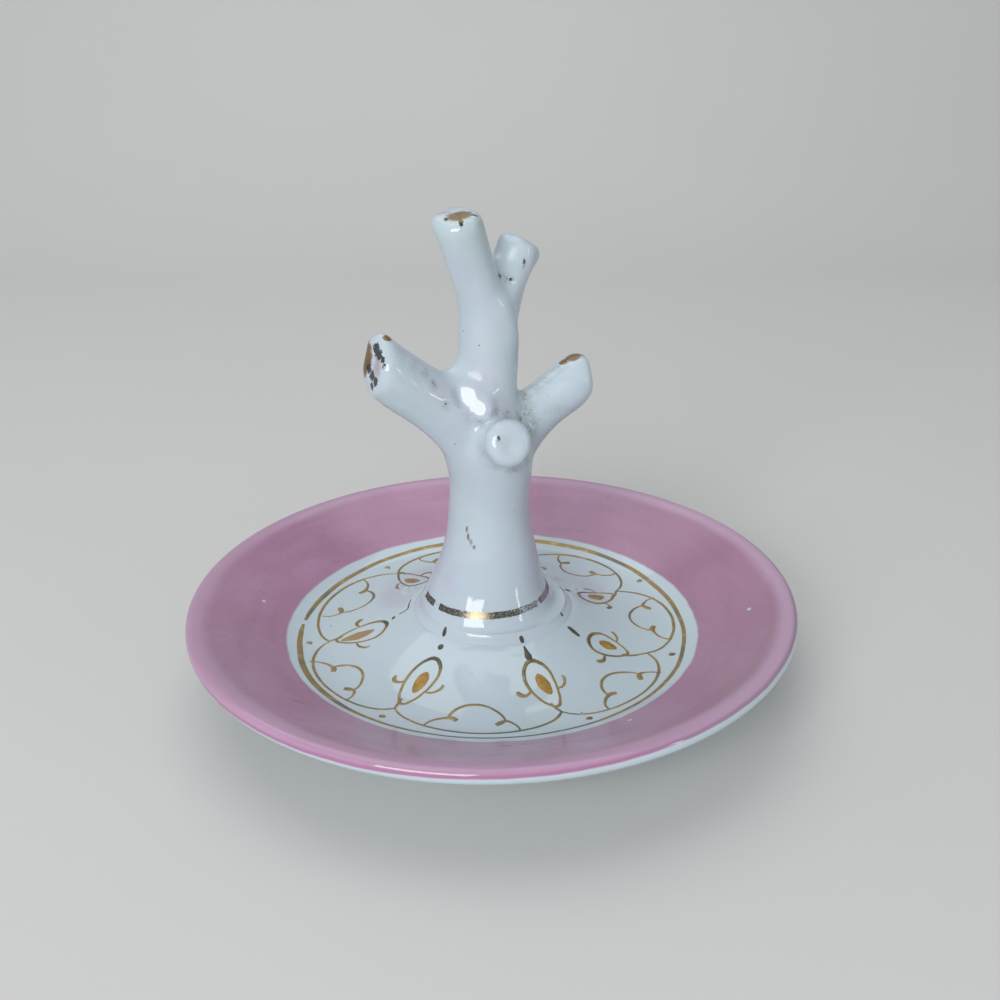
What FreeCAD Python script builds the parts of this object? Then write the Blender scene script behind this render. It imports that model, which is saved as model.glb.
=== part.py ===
import FreeCAD, Part
import os
import Sketcher

# Ring dish: a porcelain saucer with a foot ring, and a small leafless tree for rings luted in its well.
# The saucer is turned. The trunk and the limbs are shaped separately, and every limb's root is coped
# to the stem that it is luted to, so the pieces meet face to face.
# Lengths are millimetres and angles degrees. +Z is up, +X is right and -Y is the front.
# The origin is the centre of the foot ring, on the table.

# Driving sizes of the saucer
SAUCER_SIZES = {
    "dish_diameter": 90.0,
    "rim_height": 13.2,
    "rim_width": 19.6,
    "lip_radius": 1.2,
    "wall": 3.0,
    "floor_height": 5.9,
    "rim_curve_radius": 13.0,
    "seat_height": 10.0,
    "seat_margin": 0.9,
    "foot_ring_offset": 0.6,
    "foot_ring_width": 2.4,
    "foot_ring_draft": 0.7,
    "foot_ring_round": 0.5,
}

# Driving sizes of the trunk, which stands on the saucer's seat, a little to the left of its centre
TRUNK_SIZES = {
    "trunk_offset": -0.85,
    "trunk_height": 30.0,
    "trunk_foot_radius": 11.4,
    "trunk_foot_edge": 0.7,
    "trunk_foot_ledge": 0.385,
    "trunk_foot_round": 0.3,
    "trunk_waist_radius": 5.9,
    "trunk_crown_radius": 6.2,
    "trunk_top_radius": 5.2,
}

# Driving sizes of the limbs: how far above or below the trunk's top each springs from the stem's axis,
# which way it points, how far out and up from there its cut end lies, how far that end leans from upright,
# and its thickness. The leader springs from the trunk's top.
LIMB_SIZES = {
    "limb_end_round": 1.1,
    "leader_azimuth": 235.0,
    "leader_reach": 6.1,
    "leader_rise": 27.8,
    "leader_end_tilt": 18.0,
    "leader_end_radius": 3.3,
    "fork_lift": 10.0,
    "fork_azimuth": 34.0,
    "fork_reach": 5.3,
    "fork_rise": 13.0,
    "fork_end_tilt": 30.0,
    "fork_root_radius": 2.4,
    "fork_end_radius": 2.9,
    "left_drop": 2.9,
    "left_azimuth": 205.7,
    "left_reach": 15.8,
    "left_rise": 12.4,
    "left_end_tilt": 74.0,
    "left_root_radius": 4.9,
    "left_end_radius": 4.1,
    "right_drop": 4.3,
    "right_azimuth": 21.6,
    "right_reach": 13.8,
    "right_rise": 8.5,
    "right_end_tilt": 80.0,
    "right_root_radius": 4.8,
    "right_end_radius": 3.4,
    "stub_drop": 3.0,
    "stub_azimuth": 287.0,
    "stub_reach": 9.2,
    "stub_rise": 2.8,
    "stub_end_tilt": 73.0,
    "stub_root_radius": 2.8,
    "stub_end_radius": 3.1,
}

# Sizes that follow from the driving ones: the lowest circle of the saucer's well, the flat seat under the
# trunk's foot, the foot ring under the well, the flare's start on the foot, and the heights that the limbs
# spring from
FOLLOWING_SIZES = {
    "floor_radius": "=dish_diameter / 2 - rim_width",
    "seat_radius": "=trunk_foot_radius + seat_margin",
    "foot_ring_radius": "=floor_radius + foot_ring_offset",
    "trunk_instep_radius": "=trunk_foot_radius - trunk_foot_ledge",
    "trunk_top": "=seat_height + trunk_height",
    "fork_height": "=trunk_top + fork_lift",
    "left_height": "=trunk_top - left_drop",
    "right_height": "=trunk_top - right_drop",
    "stub_height": "=trunk_top - stub_drop",
}

# Stations of the trunk above its foot's edge: share of its height, share of the flare from waist to foot,
# and share of the foot's offset from the saucer's axis
TRUNK_FLARE_SHARES = (
    (0.100, 0.600, 0.97),
    (0.165, 0.460, 0.80),
    (0.250, 0.310, 0.50),
    (0.410, 0.095, 0.30),
    (0.575, 0.000, 0.30),
)
TRUNK_CROWN_SHARE = 0.76

# Stations of the limbs: shares of the rise, of the reach and of the end's tilt,
# and how far the thickness has gone from the root's radius to the end's
LEADER_SHARES = (
    (0.00, 0.00, 0.00, 0.00),
    (0.31, 0.00, 0.00, 0.48),
    (0.47, 0.02, 0.30, 0.58),
    (0.62, 0.20, 1.20, 0.90),
    (0.75, 0.49, 1.45, 1.06),
    (0.87, 0.75, 1.25, 1.06),
    (1.00, 1.00, 1.00, 1.00),
)
FORK_SHARES = (
    (0.00, 0.19, 0.33, 0.00),
    (0.43, 0.41, 0.50, 0.20),
    (0.76, 0.66, 0.73, 0.45),
    (1.00, 1.00, 1.00, 1.00),
)
SIDE_BRANCH_SHARES = (
    (-0.40, 0.02, 0.23, 0.00),
    (-0.12, 0.10, 0.41, 0.10),
    (0.18, 0.26, 0.61, 0.40),
    (0.46, 0.48, 0.70, 0.85),
    (0.69, 0.70, 0.72, 1.00),
    (1.00, 1.00, 1.00, 1.00),
)
STUB_SHARES = (
    (0.10, 0.10, 1.00, 0.00),
    (0.70, 0.70, 1.00, 0.20),
    (1.00, 1.00, 1.00, 1.00),
)

SHEET = "sizes"
ALL_SIZES = {**SAUCER_SIZES, **TRUNK_SIZES, **LIMB_SIZES, **FOLLOWING_SIZES}
UP = FreeCAD.Vector(0, 0, 1)
CENTRE = FreeCAD.Vector(0, 0, 0)
FULL_TURN = 360.0
SNAP = 1e-4

# The numbers by which a sketch names its axes, its origin and the points of its geometry
LEVEL_AXIS, UPRIGHT_AXIS = range(-1, -3, -1)
START, END, MIDDLE = range(1, 4)
SKETCH_ORIGIN = (LEVEL_AXIS, START)


def make_sheet(doc):
    """Writes every size into a sheet, one aliased cell each."""
    sheet = doc.addObject("Spreadsheet::Sheet", SHEET)
    for row, (alias, value) in enumerate(ALL_SIZES.items(), start=1):
        sheet.set(f"A{row}", alias)
        sheet.set(f"B{row}", str(value))
        sheet.setAlias(f"B{row}", alias)
    doc.recompute()
    return sheet


def cell(alias):
    """The expression that reads one size from the sheet."""
    return f"{SHEET}.{alias}"


def measure(doc):
    """Every size in the sheet as a number."""
    sheet = doc.getObject(SHEET)
    return {alias: float(sheet.get(alias)) for alias in ALL_SIZES}


def between(first, last, share):
    """The expression for a size that lies a share of the way from one size to another."""
    return f"({cell(first)} + ({cell(last)} - {cell(first)}) * {share})"


def new_body(doc, label):
    """An empty body with the label that its piece is known by."""
    body = doc.addObject("PartDesign::Body", label)
    body.Label = label
    return body


def new_sketch(body, name, role):
    """An empty sketch on one of its body's origin planes."""
    sketch = body.newObject("Sketcher::SketchObject", name)
    support = next(item for item in body.Origin.OriginFeatures if item.Role == role)
    sketch.AttachmentSupport = (support, "")
    sketch.MapMode = "FlatFace"
    return sketch


def bind(sketch, kind, *where, to):
    """Adds a dimension to a sketch and ties it to an expression."""
    value = float(sketch.evalExpression(to))
    index = sketch.addConstraint(Sketcher.Constraint(kind, *where, value))
    sketch.setExpression(f"Constraints[{index}]", to)


def bind_point(sketch, geometry, point, x=None, y=None):
    """Ties a sketch point's distances from the sketch's origin to expressions."""
    if x is not None:
        bind(sketch, "DistanceX", *SKETCH_ORIGIN, geometry, point, to=x)
    if y is not None:
        bind(sketch, "DistanceY", *SKETCH_ORIGIN, geometry, point, to=y)


def join(sketch, kind, *pairs):
    """Makes pairs of ends coincide, or run on smoothly into each other."""
    for first, first_end, second, second_end in pairs:
        sketch.addConstraint(Sketcher.Constraint(kind, first, first_end, second, second_end))


def arc(centre, start, end):
    """A sketch arc that runs counter-clockwise about a centre, from one point towards another."""
    radius = start.distanceToPoint(centre)
    circle = Part.Circle(centre, UP, radius)
    return Part.ArcOfCircle(circle, circle.parameter(start), circle.parameter(end))


def saucer_profile(body):
    """The saucer's turned wall: seat, well, sloping rim and round lip, with the underside a wall below."""
    size = measure(body.Document)
    point = FreeCAD.Vector
    sketch = new_sketch(body, "saucer_profile", "XZ_Plane")
    wall = size["wall"]
    lip = size["lip_radius"]
    curve = size["rim_curve_radius"]
    seat_drop = size["seat_height"] - size["floor_height"]
    seat_run = size["floor_radius"] - size["seat_radius"]
    cove = (seat_run**2 + seat_drop**2) / (2 * seat_drop)
    lip_centre = point(size["dish_diameter"] / 2 - lip, size["rim_height"] - lip)
    cove_centre = point(size["floor_radius"], size["floor_height"] + cove)
    curve_centre = point(size["floor_radius"], size["floor_height"] + curve)
    slope = (lip_centre - point(size["floor_radius"], size["floor_height"])).normalize()
    normal = point(-slope.y, slope.x)
    seat_edge = point(size["seat_radius"], size["seat_height"])
    seat_middle = point(0, size["seat_height"])
    floor = point(size["floor_radius"], size["floor_height"])
    rim_start = curve_centre - normal * curve
    lip_top = lip_centre + normal * lip
    lip_under = lip_centre - normal * lip
    rim_under = curve_centre - normal * (curve + wall)
    floor_under = floor - point(0, wall)
    seat_under = cove_centre + (seat_edge - cove_centre).normalize() * (cove + wall)
    middle_under = point(0, size["seat_height"] - wall)
    seat, well, rim_curve, rim, lip_arc = sketch.addGeometry(
        [
            Part.LineSegment(seat_middle, seat_edge),
            arc(cove_centre, seat_edge, floor),
            arc(curve_centre, floor, rim_start),
            Part.LineSegment(rim_start, lip_top),
            arc(lip_centre, lip_under, lip_top),
        ],
        False,
    )
    underside, under_curve, under_well, under_seat, axis = sketch.addGeometry(
        [
            Part.LineSegment(lip_under, rim_under),
            arc(curve_centre, floor_under, rim_under),
            arc(cove_centre, seat_under, floor_under),
            Part.LineSegment(seat_under, middle_under),
            Part.LineSegment(middle_under, seat_middle),
        ],
        False,
    )
    join(
        sketch,
        "Coincident",
        (seat, END, well, START),
        (well, END, rim_curve, START),
        (under_curve, START, under_well, END),
        (under_well, START, under_seat, START),
        (under_seat, END, axis, START),
        (axis, END, seat, START),
        (under_curve, MIDDLE, rim_curve, MIDDLE),
        (under_well, MIDDLE, well, MIDDLE),
    )
    join(
        sketch,
        "Tangent",
        (rim_curve, END, rim, START),
        (rim, END, lip_arc, END),
        (lip_arc, START, underside, START),
        (underside, END, under_curve, END),
    )
    sketch.addConstraint(Sketcher.Constraint("Horizontal", seat))
    sketch.addConstraint(Sketcher.Constraint("Horizontal", under_seat))
    sketch.addConstraint(Sketcher.Constraint("PointOnObject", seat, START, UPRIGHT_AXIS))
    sketch.addConstraint(Sketcher.Constraint("PointOnObject", axis, START, UPRIGHT_AXIS))
    bind_point(sketch, seat, END, x=cell("seat_radius"), y=cell("seat_height"))
    bind_point(sketch, under_seat, START, y=f"{cell('seat_height')} - {cell('wall')}")
    bind_point(sketch, well, END, x=cell("floor_radius"), y=cell("floor_height"))
    bind_point(sketch, well, MIDDLE, x=cell("floor_radius"))
    bind_point(sketch, rim_curve, MIDDLE, x=cell("floor_radius"))
    bind_point(sketch, under_curve, START, x=cell("floor_radius"))
    bind(sketch, "Radius", rim_curve, to=cell("rim_curve_radius"))
    bind(sketch, "Radius", under_curve, to=f"{cell('rim_curve_radius')} + {cell('wall')}")
    bind_point(
        sketch,
        lip_arc,
        MIDDLE,
        x=f"{cell('dish_diameter')} / 2 - {cell('lip_radius')}",
        y=f"{cell('rim_height')} - {cell('lip_radius')}",
    )
    bind(sketch, "Radius", lip_arc, to=cell("lip_radius"))
    return sketch


def foot_ring_profile(body):
    """The foot ring's drafted section, flat on the table and sunk to the middle of the wall above it."""
    size = measure(body.Document)
    point = FreeCAD.Vector
    sketch = new_sketch(body, "foot_ring_profile", "XZ_Plane")
    half = size["foot_ring_width"] / 2
    top_half = half + size["foot_ring_draft"]
    middle = size["foot_ring_radius"]
    top = size["floor_height"] - size["wall"] / 2
    corners = [
        point(middle - half, 0),
        point(middle + half, 0),
        point(middle + top_half, top),
        point(middle - top_half, top),
    ]
    lines = sketch.addGeometry(
        [Part.LineSegment(corners[i - 1], corners[i]) for i in range(len(corners))],
        False,
    )
    join(sketch, "Coincident", *((lines[i - 1], END, lines[i], START) for i in range(len(lines))))
    ring = cell("foot_ring_radius")
    half_width = f"{cell('foot_ring_width')} / 2"
    top_half_width = f"({half_width} + {cell('foot_ring_draft')})"
    top_height = f"{cell('floor_height')} - {cell('wall')} / 2"
    inner_foot, outer_foot, outer_top, inner_top = lines
    bind_point(sketch, inner_foot, END, x=f"{ring} - {half_width}")
    bind_point(sketch, outer_foot, END, x=f"{ring} + {half_width}")
    bind_point(sketch, outer_top, END, x=f"{ring} + {top_half_width}", y=top_height)
    bind_point(sketch, inner_top, END, x=f"{ring} - {top_half_width}", y=top_height)
    for line in (inner_foot, outer_foot):
        sketch.addConstraint(Sketcher.Constraint("PointOnObject", line, END, LEVEL_AXIS))
    return sketch


def revolve(body, sketch):
    """Turns a profile a full turn about the upright axis."""
    turned = body.newObject("PartDesign::Revolution", f"{sketch.Name}_turned")
    turned.Profile = sketch
    turned.ReferenceAxis = (sketch, ["V_Axis"])
    turned.Angle = FULL_TURN
    return turned


def level_edges(shape, centre, outside):
    """Names of the edges that lie level with a centre and wholly further out from it than a distance."""
    names = []
    for number, edge in enumerate(shape.Edges, start=1):
        middle = (edge.FirstParameter + edge.LastParameter) / 2
        points = [vertex.Point for vertex in edge.Vertexes] + [edge.valueAt(middle)]
        arms = [point - centre for point in points]
        if all(abs(arm.z) < SNAP and arm.Length > outside for arm in arms):
            names.append(f"Edge{number}")
    return names


def round_edges(body, feature, centre, outside, rounding):
    """Rounds the level edges of a body's last feature that lie outside a circle."""
    body.Document.recompute()
    rounded = body.newObject("PartDesign::Fillet", f"{feature.Name}_rounded")
    rounded.Base = (feature, level_edges(feature.Shape, centre, outside))
    rounded.setExpression("Radius", cell(rounding))
    return rounded


def make_dish(doc):
    """The saucer and the foot ring under it, turned as one piece."""
    body = new_body(doc, "dish")
    revolve(body, saucer_profile(body))
    foot_ring = revolve(body, foot_ring_profile(body))
    round_edges(body, foot_ring, CENTRE, 0.0, "foot_ring_round")
    return body


def round_section(body, name, out, rise, tilt, radius):
    """A circle across a limb, out and up from the limb's root and leaning outwards by a tilt."""
    sketch = new_sketch(body, name, "XY_Plane")
    sketch.setExpression("AttachmentOffset", f"placement(vector({out}; 0; {rise}); rotationy({tilt}))")
    value = float(sketch.evalExpression(radius))
    circle = sketch.addGeometry(Part.Circle(CENTRE, UP, value), False)
    sketch.addConstraint(Sketcher.Constraint("Coincident", circle, MIDDLE, *SKETCH_ORIGIN))
    bind(sketch, "Radius", circle, to=radius)
    return sketch


def loft(body, name, sections):
    """A smooth skin through a limb's sections, closed at both ends."""
    skin = body.newObject("PartDesign::AdditiveLoft", name)
    skin.Profile = sections[0]
    skin.Sections = sections[1:]
    skin.Ruled = False
    return skin


def make_trunk(doc):
    """The trunk: a thin round foot on the saucer's seat, a flare up to the waist, and the crown."""
    body = new_body(doc, "trunk")
    body.setExpression("Placement", f"placement(vector(0; 0; {cell('seat_height')}); rotationz(0))")
    offset = cell("trunk_offset")
    height = cell("trunk_height")
    foot_edge = cell("trunk_foot_edge")
    foot = round_section(body, "trunk_foot_outline", offset, "0", "0", cell("trunk_foot_radius"))
    pad = body.newObject("PartDesign::Pad", "trunk_foot_pad")
    pad.Profile = foot
    pad.setExpression("Length", foot_edge)
    instep = cell("trunk_instep_radius")
    sections = [round_section(body, "trunk_instep", offset, foot_edge, "0", instep)]
    for number, (rise, flare, lean) in enumerate(TRUNK_FLARE_SHARES, start=1):
        radius = between("trunk_waist_radius", "trunk_foot_radius", flare)
        name = f"trunk_flare_{number}"
        sections.append(round_section(body, name, f"{offset} * {lean}", f"{height} * {rise}", "0", radius))
    crown_rise = f"{height} * {TRUNK_CROWN_SHARE}"
    sections.append(round_section(body, "trunk_crown", "0", crown_rise, "0", cell("trunk_crown_radius")))
    sections.append(round_section(body, "trunk_top", "0", height, "0", cell("trunk_top_radius")))
    skin = loft(body, "trunk_skin", sections)
    size = measure(doc)
    edge_centre = FreeCAD.Vector(size["trunk_offset"], 0, size["trunk_foot_edge"])
    round_edges(body, skin, edge_centre, size["trunk_foot_radius"] - SNAP, "trunk_foot_round")
    return body


def cut_end(body, name, out, rise, tilt, radius):
    """The rounded cut end of a limb, turned about the limb's own line beyond its last section."""
    sketch = new_sketch(body, name, "XZ_Plane")
    sketch.setExpression("AttachmentOffset", f"placement(vector({out}; {rise}; 0); rotationz(-({tilt})))")
    rounding = cell("limb_end_round")
    full = float(sketch.evalExpression(radius))
    round_radius = float(sketch.evalExpression(rounding))
    side = FreeCAD.Vector(full, 0)
    round_centre = FreeCAD.Vector(full - round_radius, 0)
    flat_edge = FreeCAD.Vector(full - round_radius, round_radius)
    flat_middle = FreeCAD.Vector(0, round_radius)
    across, edge, flat, axis = sketch.addGeometry(
        [
            Part.LineSegment(CENTRE, side),
            arc(round_centre, side, flat_edge),
            Part.LineSegment(flat_edge, flat_middle),
            Part.LineSegment(flat_middle, CENTRE),
        ],
        False,
    )
    join(
        sketch,
        "Coincident",
        (across, START, *SKETCH_ORIGIN),
        (across, END, edge, START),
        (edge, END, flat, START),
        (flat, END, axis, START),
        (axis, END, across, START),
    )
    sketch.addConstraint(Sketcher.Constraint("Horizontal", across))
    sketch.addConstraint(Sketcher.Constraint("Horizontal", flat))
    sketch.addConstraint(Sketcher.Constraint("Vertical", axis))
    sketch.addConstraint(Sketcher.Constraint("PointOnObject", edge, MIDDLE, LEVEL_AXIS))
    bind_point(sketch, edge, MIDDLE, x=f"{radius} - {rounding}")
    bind_point(sketch, edge, END, x=f"{radius} - {rounding}")
    bind(sketch, "Radius", edge, to=rounding)
    return revolve(body, sketch)


def make_limb(doc, label, prefix, height, root_radius, shares):
    """A limb with a rounded cut end, through stations that swing from its root out to its end."""
    body = new_body(doc, label)
    azimuth = cell(f"{prefix}_azimuth")
    body.setExpression("Placement", f"placement(vector(0; 0; {cell(height)}); rotationz({azimuth}))")
    sections = []
    for number, (rise_share, reach_share, tilt_share, thickness_share) in enumerate(shares, start=1):
        out = f"{cell(prefix + '_reach')} * {reach_share}"
        rise = f"{cell(prefix + '_rise')} * ({rise_share})"
        tilt = f"{cell(prefix + '_end_tilt')} * {tilt_share}"
        radius = between(root_radius, f"{prefix}_end_radius", thickness_share)
        sections.append(round_section(body, f"{label}_section_{number}", out, rise, tilt, radius))
    loft(body, f"{label}_skin", sections)
    cut_end(body, f"{label}_cut_end", out, rise, tilt, radius)
    return body


def cope(doc, label, blank, *stems):
    """Cuts a limb's root to each of the stems that it is luted to."""
    piece = blank
    for stem in stems:
        cut = doc.addObject("Part::Cut", f"{label}_coped_to_{stem.Name}")
        cut.Base = piece
        cut.Tool = stem
        piece = cut
    piece.Label = label
    return piece


def make_pieces(doc):
    """Every piece of the ring dish, in the order in which the potter joins them."""
    dish = make_dish(doc)
    trunk = make_trunk(doc)
    leader = make_limb(doc, "top_leader", "leader", "trunk_top", "trunk_top_radius", LEADER_SHARES)
    fork = make_limb(doc, "top_fork_blank", "fork", "fork_height", "fork_root_radius", FORK_SHARES)
    left = make_limb(
        doc, "left_branch_blank", "left", "left_height", "left_root_radius", SIDE_BRANCH_SHARES
    )
    right = make_limb(
        doc, "right_branch_blank", "right", "right_height", "right_root_radius", SIDE_BRANCH_SHARES
    )
    stub = make_limb(doc, "front_stub_blank", "stub", "stub_height", "stub_root_radius", STUB_SHARES)
    left_branch = cope(doc, "left_branch", left, trunk, leader)
    right_branch = cope(doc, "right_branch", right, trunk, leader)
    return [
        dish,
        trunk,
        leader,
        cope(doc, "top_fork", fork, leader),
        left_branch,
        right_branch,
        cope(doc, "front_stub", stub, trunk, leader, left_branch, right_branch),
    ]


def check(doc, pieces):
    """Stops if any object failed, or if a piece isn't one sound solid."""
    failed = [item.Name for item in doc.Objects if {"Invalid", "Error"} & set(item.State)]
    if failed:
        raise RuntimeError(f"failed objects: {failed}")
    for piece in pieces:
        shape = piece.Shape
        if shape.isNull() or not shape.isValid() or len(shape.Solids) != 1:
            raise RuntimeError(f"{piece.Label} is not one sound solid")


def main():
    doc = FreeCAD.newDocument("ring_dish")
    make_sheet(doc)
    pieces = make_pieces(doc)
    doc.recompute()
    check(doc, pieces)
    os.makedirs("parts", exist_ok=True)
    for piece in pieces:
        piece.Shape.exportStep(f"parts/{piece.Label}.step")
        print(f"{piece.Label}: {piece.Shape.Volume:.1f} mm3")


main()
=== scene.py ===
"""Looks of a porcelain ring dish.

A turned saucer with a pink enamel rim, a luted porcelain tree for rings, and worn gilding painted
over the glaze. Sizes are millimetres and angles degrees; they become metres and radians where
Blender needs them. Angles run counter-clockwise from +X, seen from above, and -Y is the front.
"""

import logging
import math
import random
from collections.abc import Callable, Iterable, Sequence
from dataclasses import dataclass
from enum import Enum
from typing import Any

import bpy
import numpy as np
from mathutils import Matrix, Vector


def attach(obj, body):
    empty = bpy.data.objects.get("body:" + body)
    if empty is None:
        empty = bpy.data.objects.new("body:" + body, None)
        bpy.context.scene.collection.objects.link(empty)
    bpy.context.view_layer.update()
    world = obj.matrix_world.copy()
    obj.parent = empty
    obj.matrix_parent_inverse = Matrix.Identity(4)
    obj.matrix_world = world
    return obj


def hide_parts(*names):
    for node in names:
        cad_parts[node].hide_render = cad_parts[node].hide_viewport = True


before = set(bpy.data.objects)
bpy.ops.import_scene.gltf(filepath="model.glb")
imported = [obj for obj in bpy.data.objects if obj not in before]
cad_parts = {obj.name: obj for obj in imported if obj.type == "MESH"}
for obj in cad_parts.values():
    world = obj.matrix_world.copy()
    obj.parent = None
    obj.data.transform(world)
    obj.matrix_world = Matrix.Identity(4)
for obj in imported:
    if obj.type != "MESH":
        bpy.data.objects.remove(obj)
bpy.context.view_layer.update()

LOG = logging.getLogger("ring_dish")
MM = 0.001
BODY = "root"

Place = tuple[float, float, float]
Polar = tuple[float, float]
Colour = tuple[float, float, float]
Piece = bpy.types.Object
Socket = bpy.types.NodeSocket


class Slot(Enum):
    """The record's material slots."""

    SAUCER = "saucer_glaze"
    TREE = "tree_glaze"


class Stalk(Enum):
    """How a medallion's inner end runs out towards the trunk."""

    DOT_AND_DASH = "dot and dash"
    POINTED = "pointed"
    RADIAL_DASH = "radial dash"
    WAVY_LINE = "wavy line"


class Bench:
    """Blender's selection, edit mode and modifiers, kept tidy from one piece to the next."""

    MERGE = 0.002

    @staticmethod
    def clear() -> None:
        """Deselects everything, in object mode."""
        active = bpy.context.view_layer.objects.active
        if active is not None and active.mode != "OBJECT":
            bpy.ops.object.mode_set(mode="OBJECT")
        bpy.ops.object.select_all(action="DESELECT")

    @staticmethod
    def take(piece: Piece) -> None:
        """Selects one piece alone and makes it active."""
        Bench.clear()
        piece.select_set(True)
        bpy.context.view_layer.objects.active = piece

    @staticmethod
    def add(name: str, data: bpy.types.ID) -> Piece:
        """Puts a new piece with a mesh or curve on the bench."""
        piece = bpy.data.objects.new(name, data)
        bpy.context.scene.collection.objects.link(piece)
        return piece

    @staticmethod
    def modify(piece: Piece, kind: str, **settings: object) -> None:
        """Adds a modifier to a piece and applies it.

        Args:
            piece: the piece to change
            kind: the modifier's type
            settings: the modifier's properties
        """
        Bench.take(piece)
        modifier = piece.modifiers.new(kind.title(), kind)
        for setting, value in settings.items():
            setattr(modifier, setting, value)
        bpy.ops.object.modifier_apply(modifier=modifier.name)

    @staticmethod
    def pick(piece: Piece, kind: str, wanted: Callable[[Any], bool]) -> None:
        """Opens a piece in edit mode with only some parts of its mesh selected.

        Args:
            piece: the piece to open
            kind: VERT, EDGE or FACE, for the parts to choose from
            wanted: tells of a part whether it is selected
        """
        Bench.take(piece)
        bpy.ops.object.mode_set(mode="EDIT")
        bpy.ops.mesh.select_mode(type=kind)
        bpy.ops.mesh.select_all(action="DESELECT")
        bpy.ops.object.mode_set(mode="OBJECT")
        mesh = piece.data
        for part in {"VERT": mesh.vertices, "EDGE": mesh.edges, "FACE": mesh.polygons}[kind]:
            part.select = wanted(part)
        bpy.ops.object.mode_set(mode="EDIT")

    @staticmethod
    def turn(name: str, profile: Sequence[Polar], axis: Polar, steps: int) -> Piece:
        """Turns a profile about an upright axis, as on a wheel.

        Args:
            name: the new piece's name
            profile: radius and height of the points that the profile is drawn through
            axis: where the axis stands, in x and y
            steps: faces round the piece

        Returns:
            The turned piece, smooth and closed.
        """
        Bench.clear()
        bpy.ops.mesh.primitive_plane_add(size=MM)
        piece = bpy.context.object
        piece.name = name
        bpy.ops.object.mode_set(mode="EDIT")
        bpy.ops.mesh.merge(type="CENTER")
        start = Vector((axis[0] + profile[0][0], axis[1], profile[0][1]))
        bpy.ops.transform.translate(value=start * MM)
        for (radius, height), (next_radius, next_height) in zip(profile, profile[1:]):
            move = Vector((next_radius - radius, 0.0, next_height - height)) * MM
            bpy.ops.mesh.extrude_region_move(TRANSFORM_OT_translate={"value": move})
        bpy.ops.mesh.select_all(action="SELECT")
        centre = (axis[0] * MM, axis[1] * MM, 0.0)
        bpy.ops.mesh.spin(steps=steps, angle=math.tau, center=centre, axis=(0.0, 0.0, 1.0))
        bpy.ops.mesh.select_all(action="SELECT")
        bpy.ops.mesh.remove_doubles(threshold=Bench.MERGE * MM)
        bpy.ops.mesh.normals_make_consistent(inside=False)
        bpy.ops.object.mode_set(mode="OBJECT")
        bpy.ops.object.shade_smooth()
        return piece

    @staticmethod
    def dress(piece: Piece, material: bpy.types.Material, slot: Slot) -> None:
        """Gives a piece its finish and lets it ride with the dish."""
        piece.data.materials.clear()
        piece.data.materials.append(material)
        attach(piece, BODY)
        LOG.info("%s: %d faces", piece.name, len(piece.data.polygons))


@dataclass(frozen=True)
class Blotches:
    """Blotches of soft noise.

    Attributes:
        size: their size
        detail: octaves of finer noise in them
        start: the noise's value where they begin
        whole: its value where they are whole
    """

    size: float
    detail: float
    start: float
    whole: float


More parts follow.
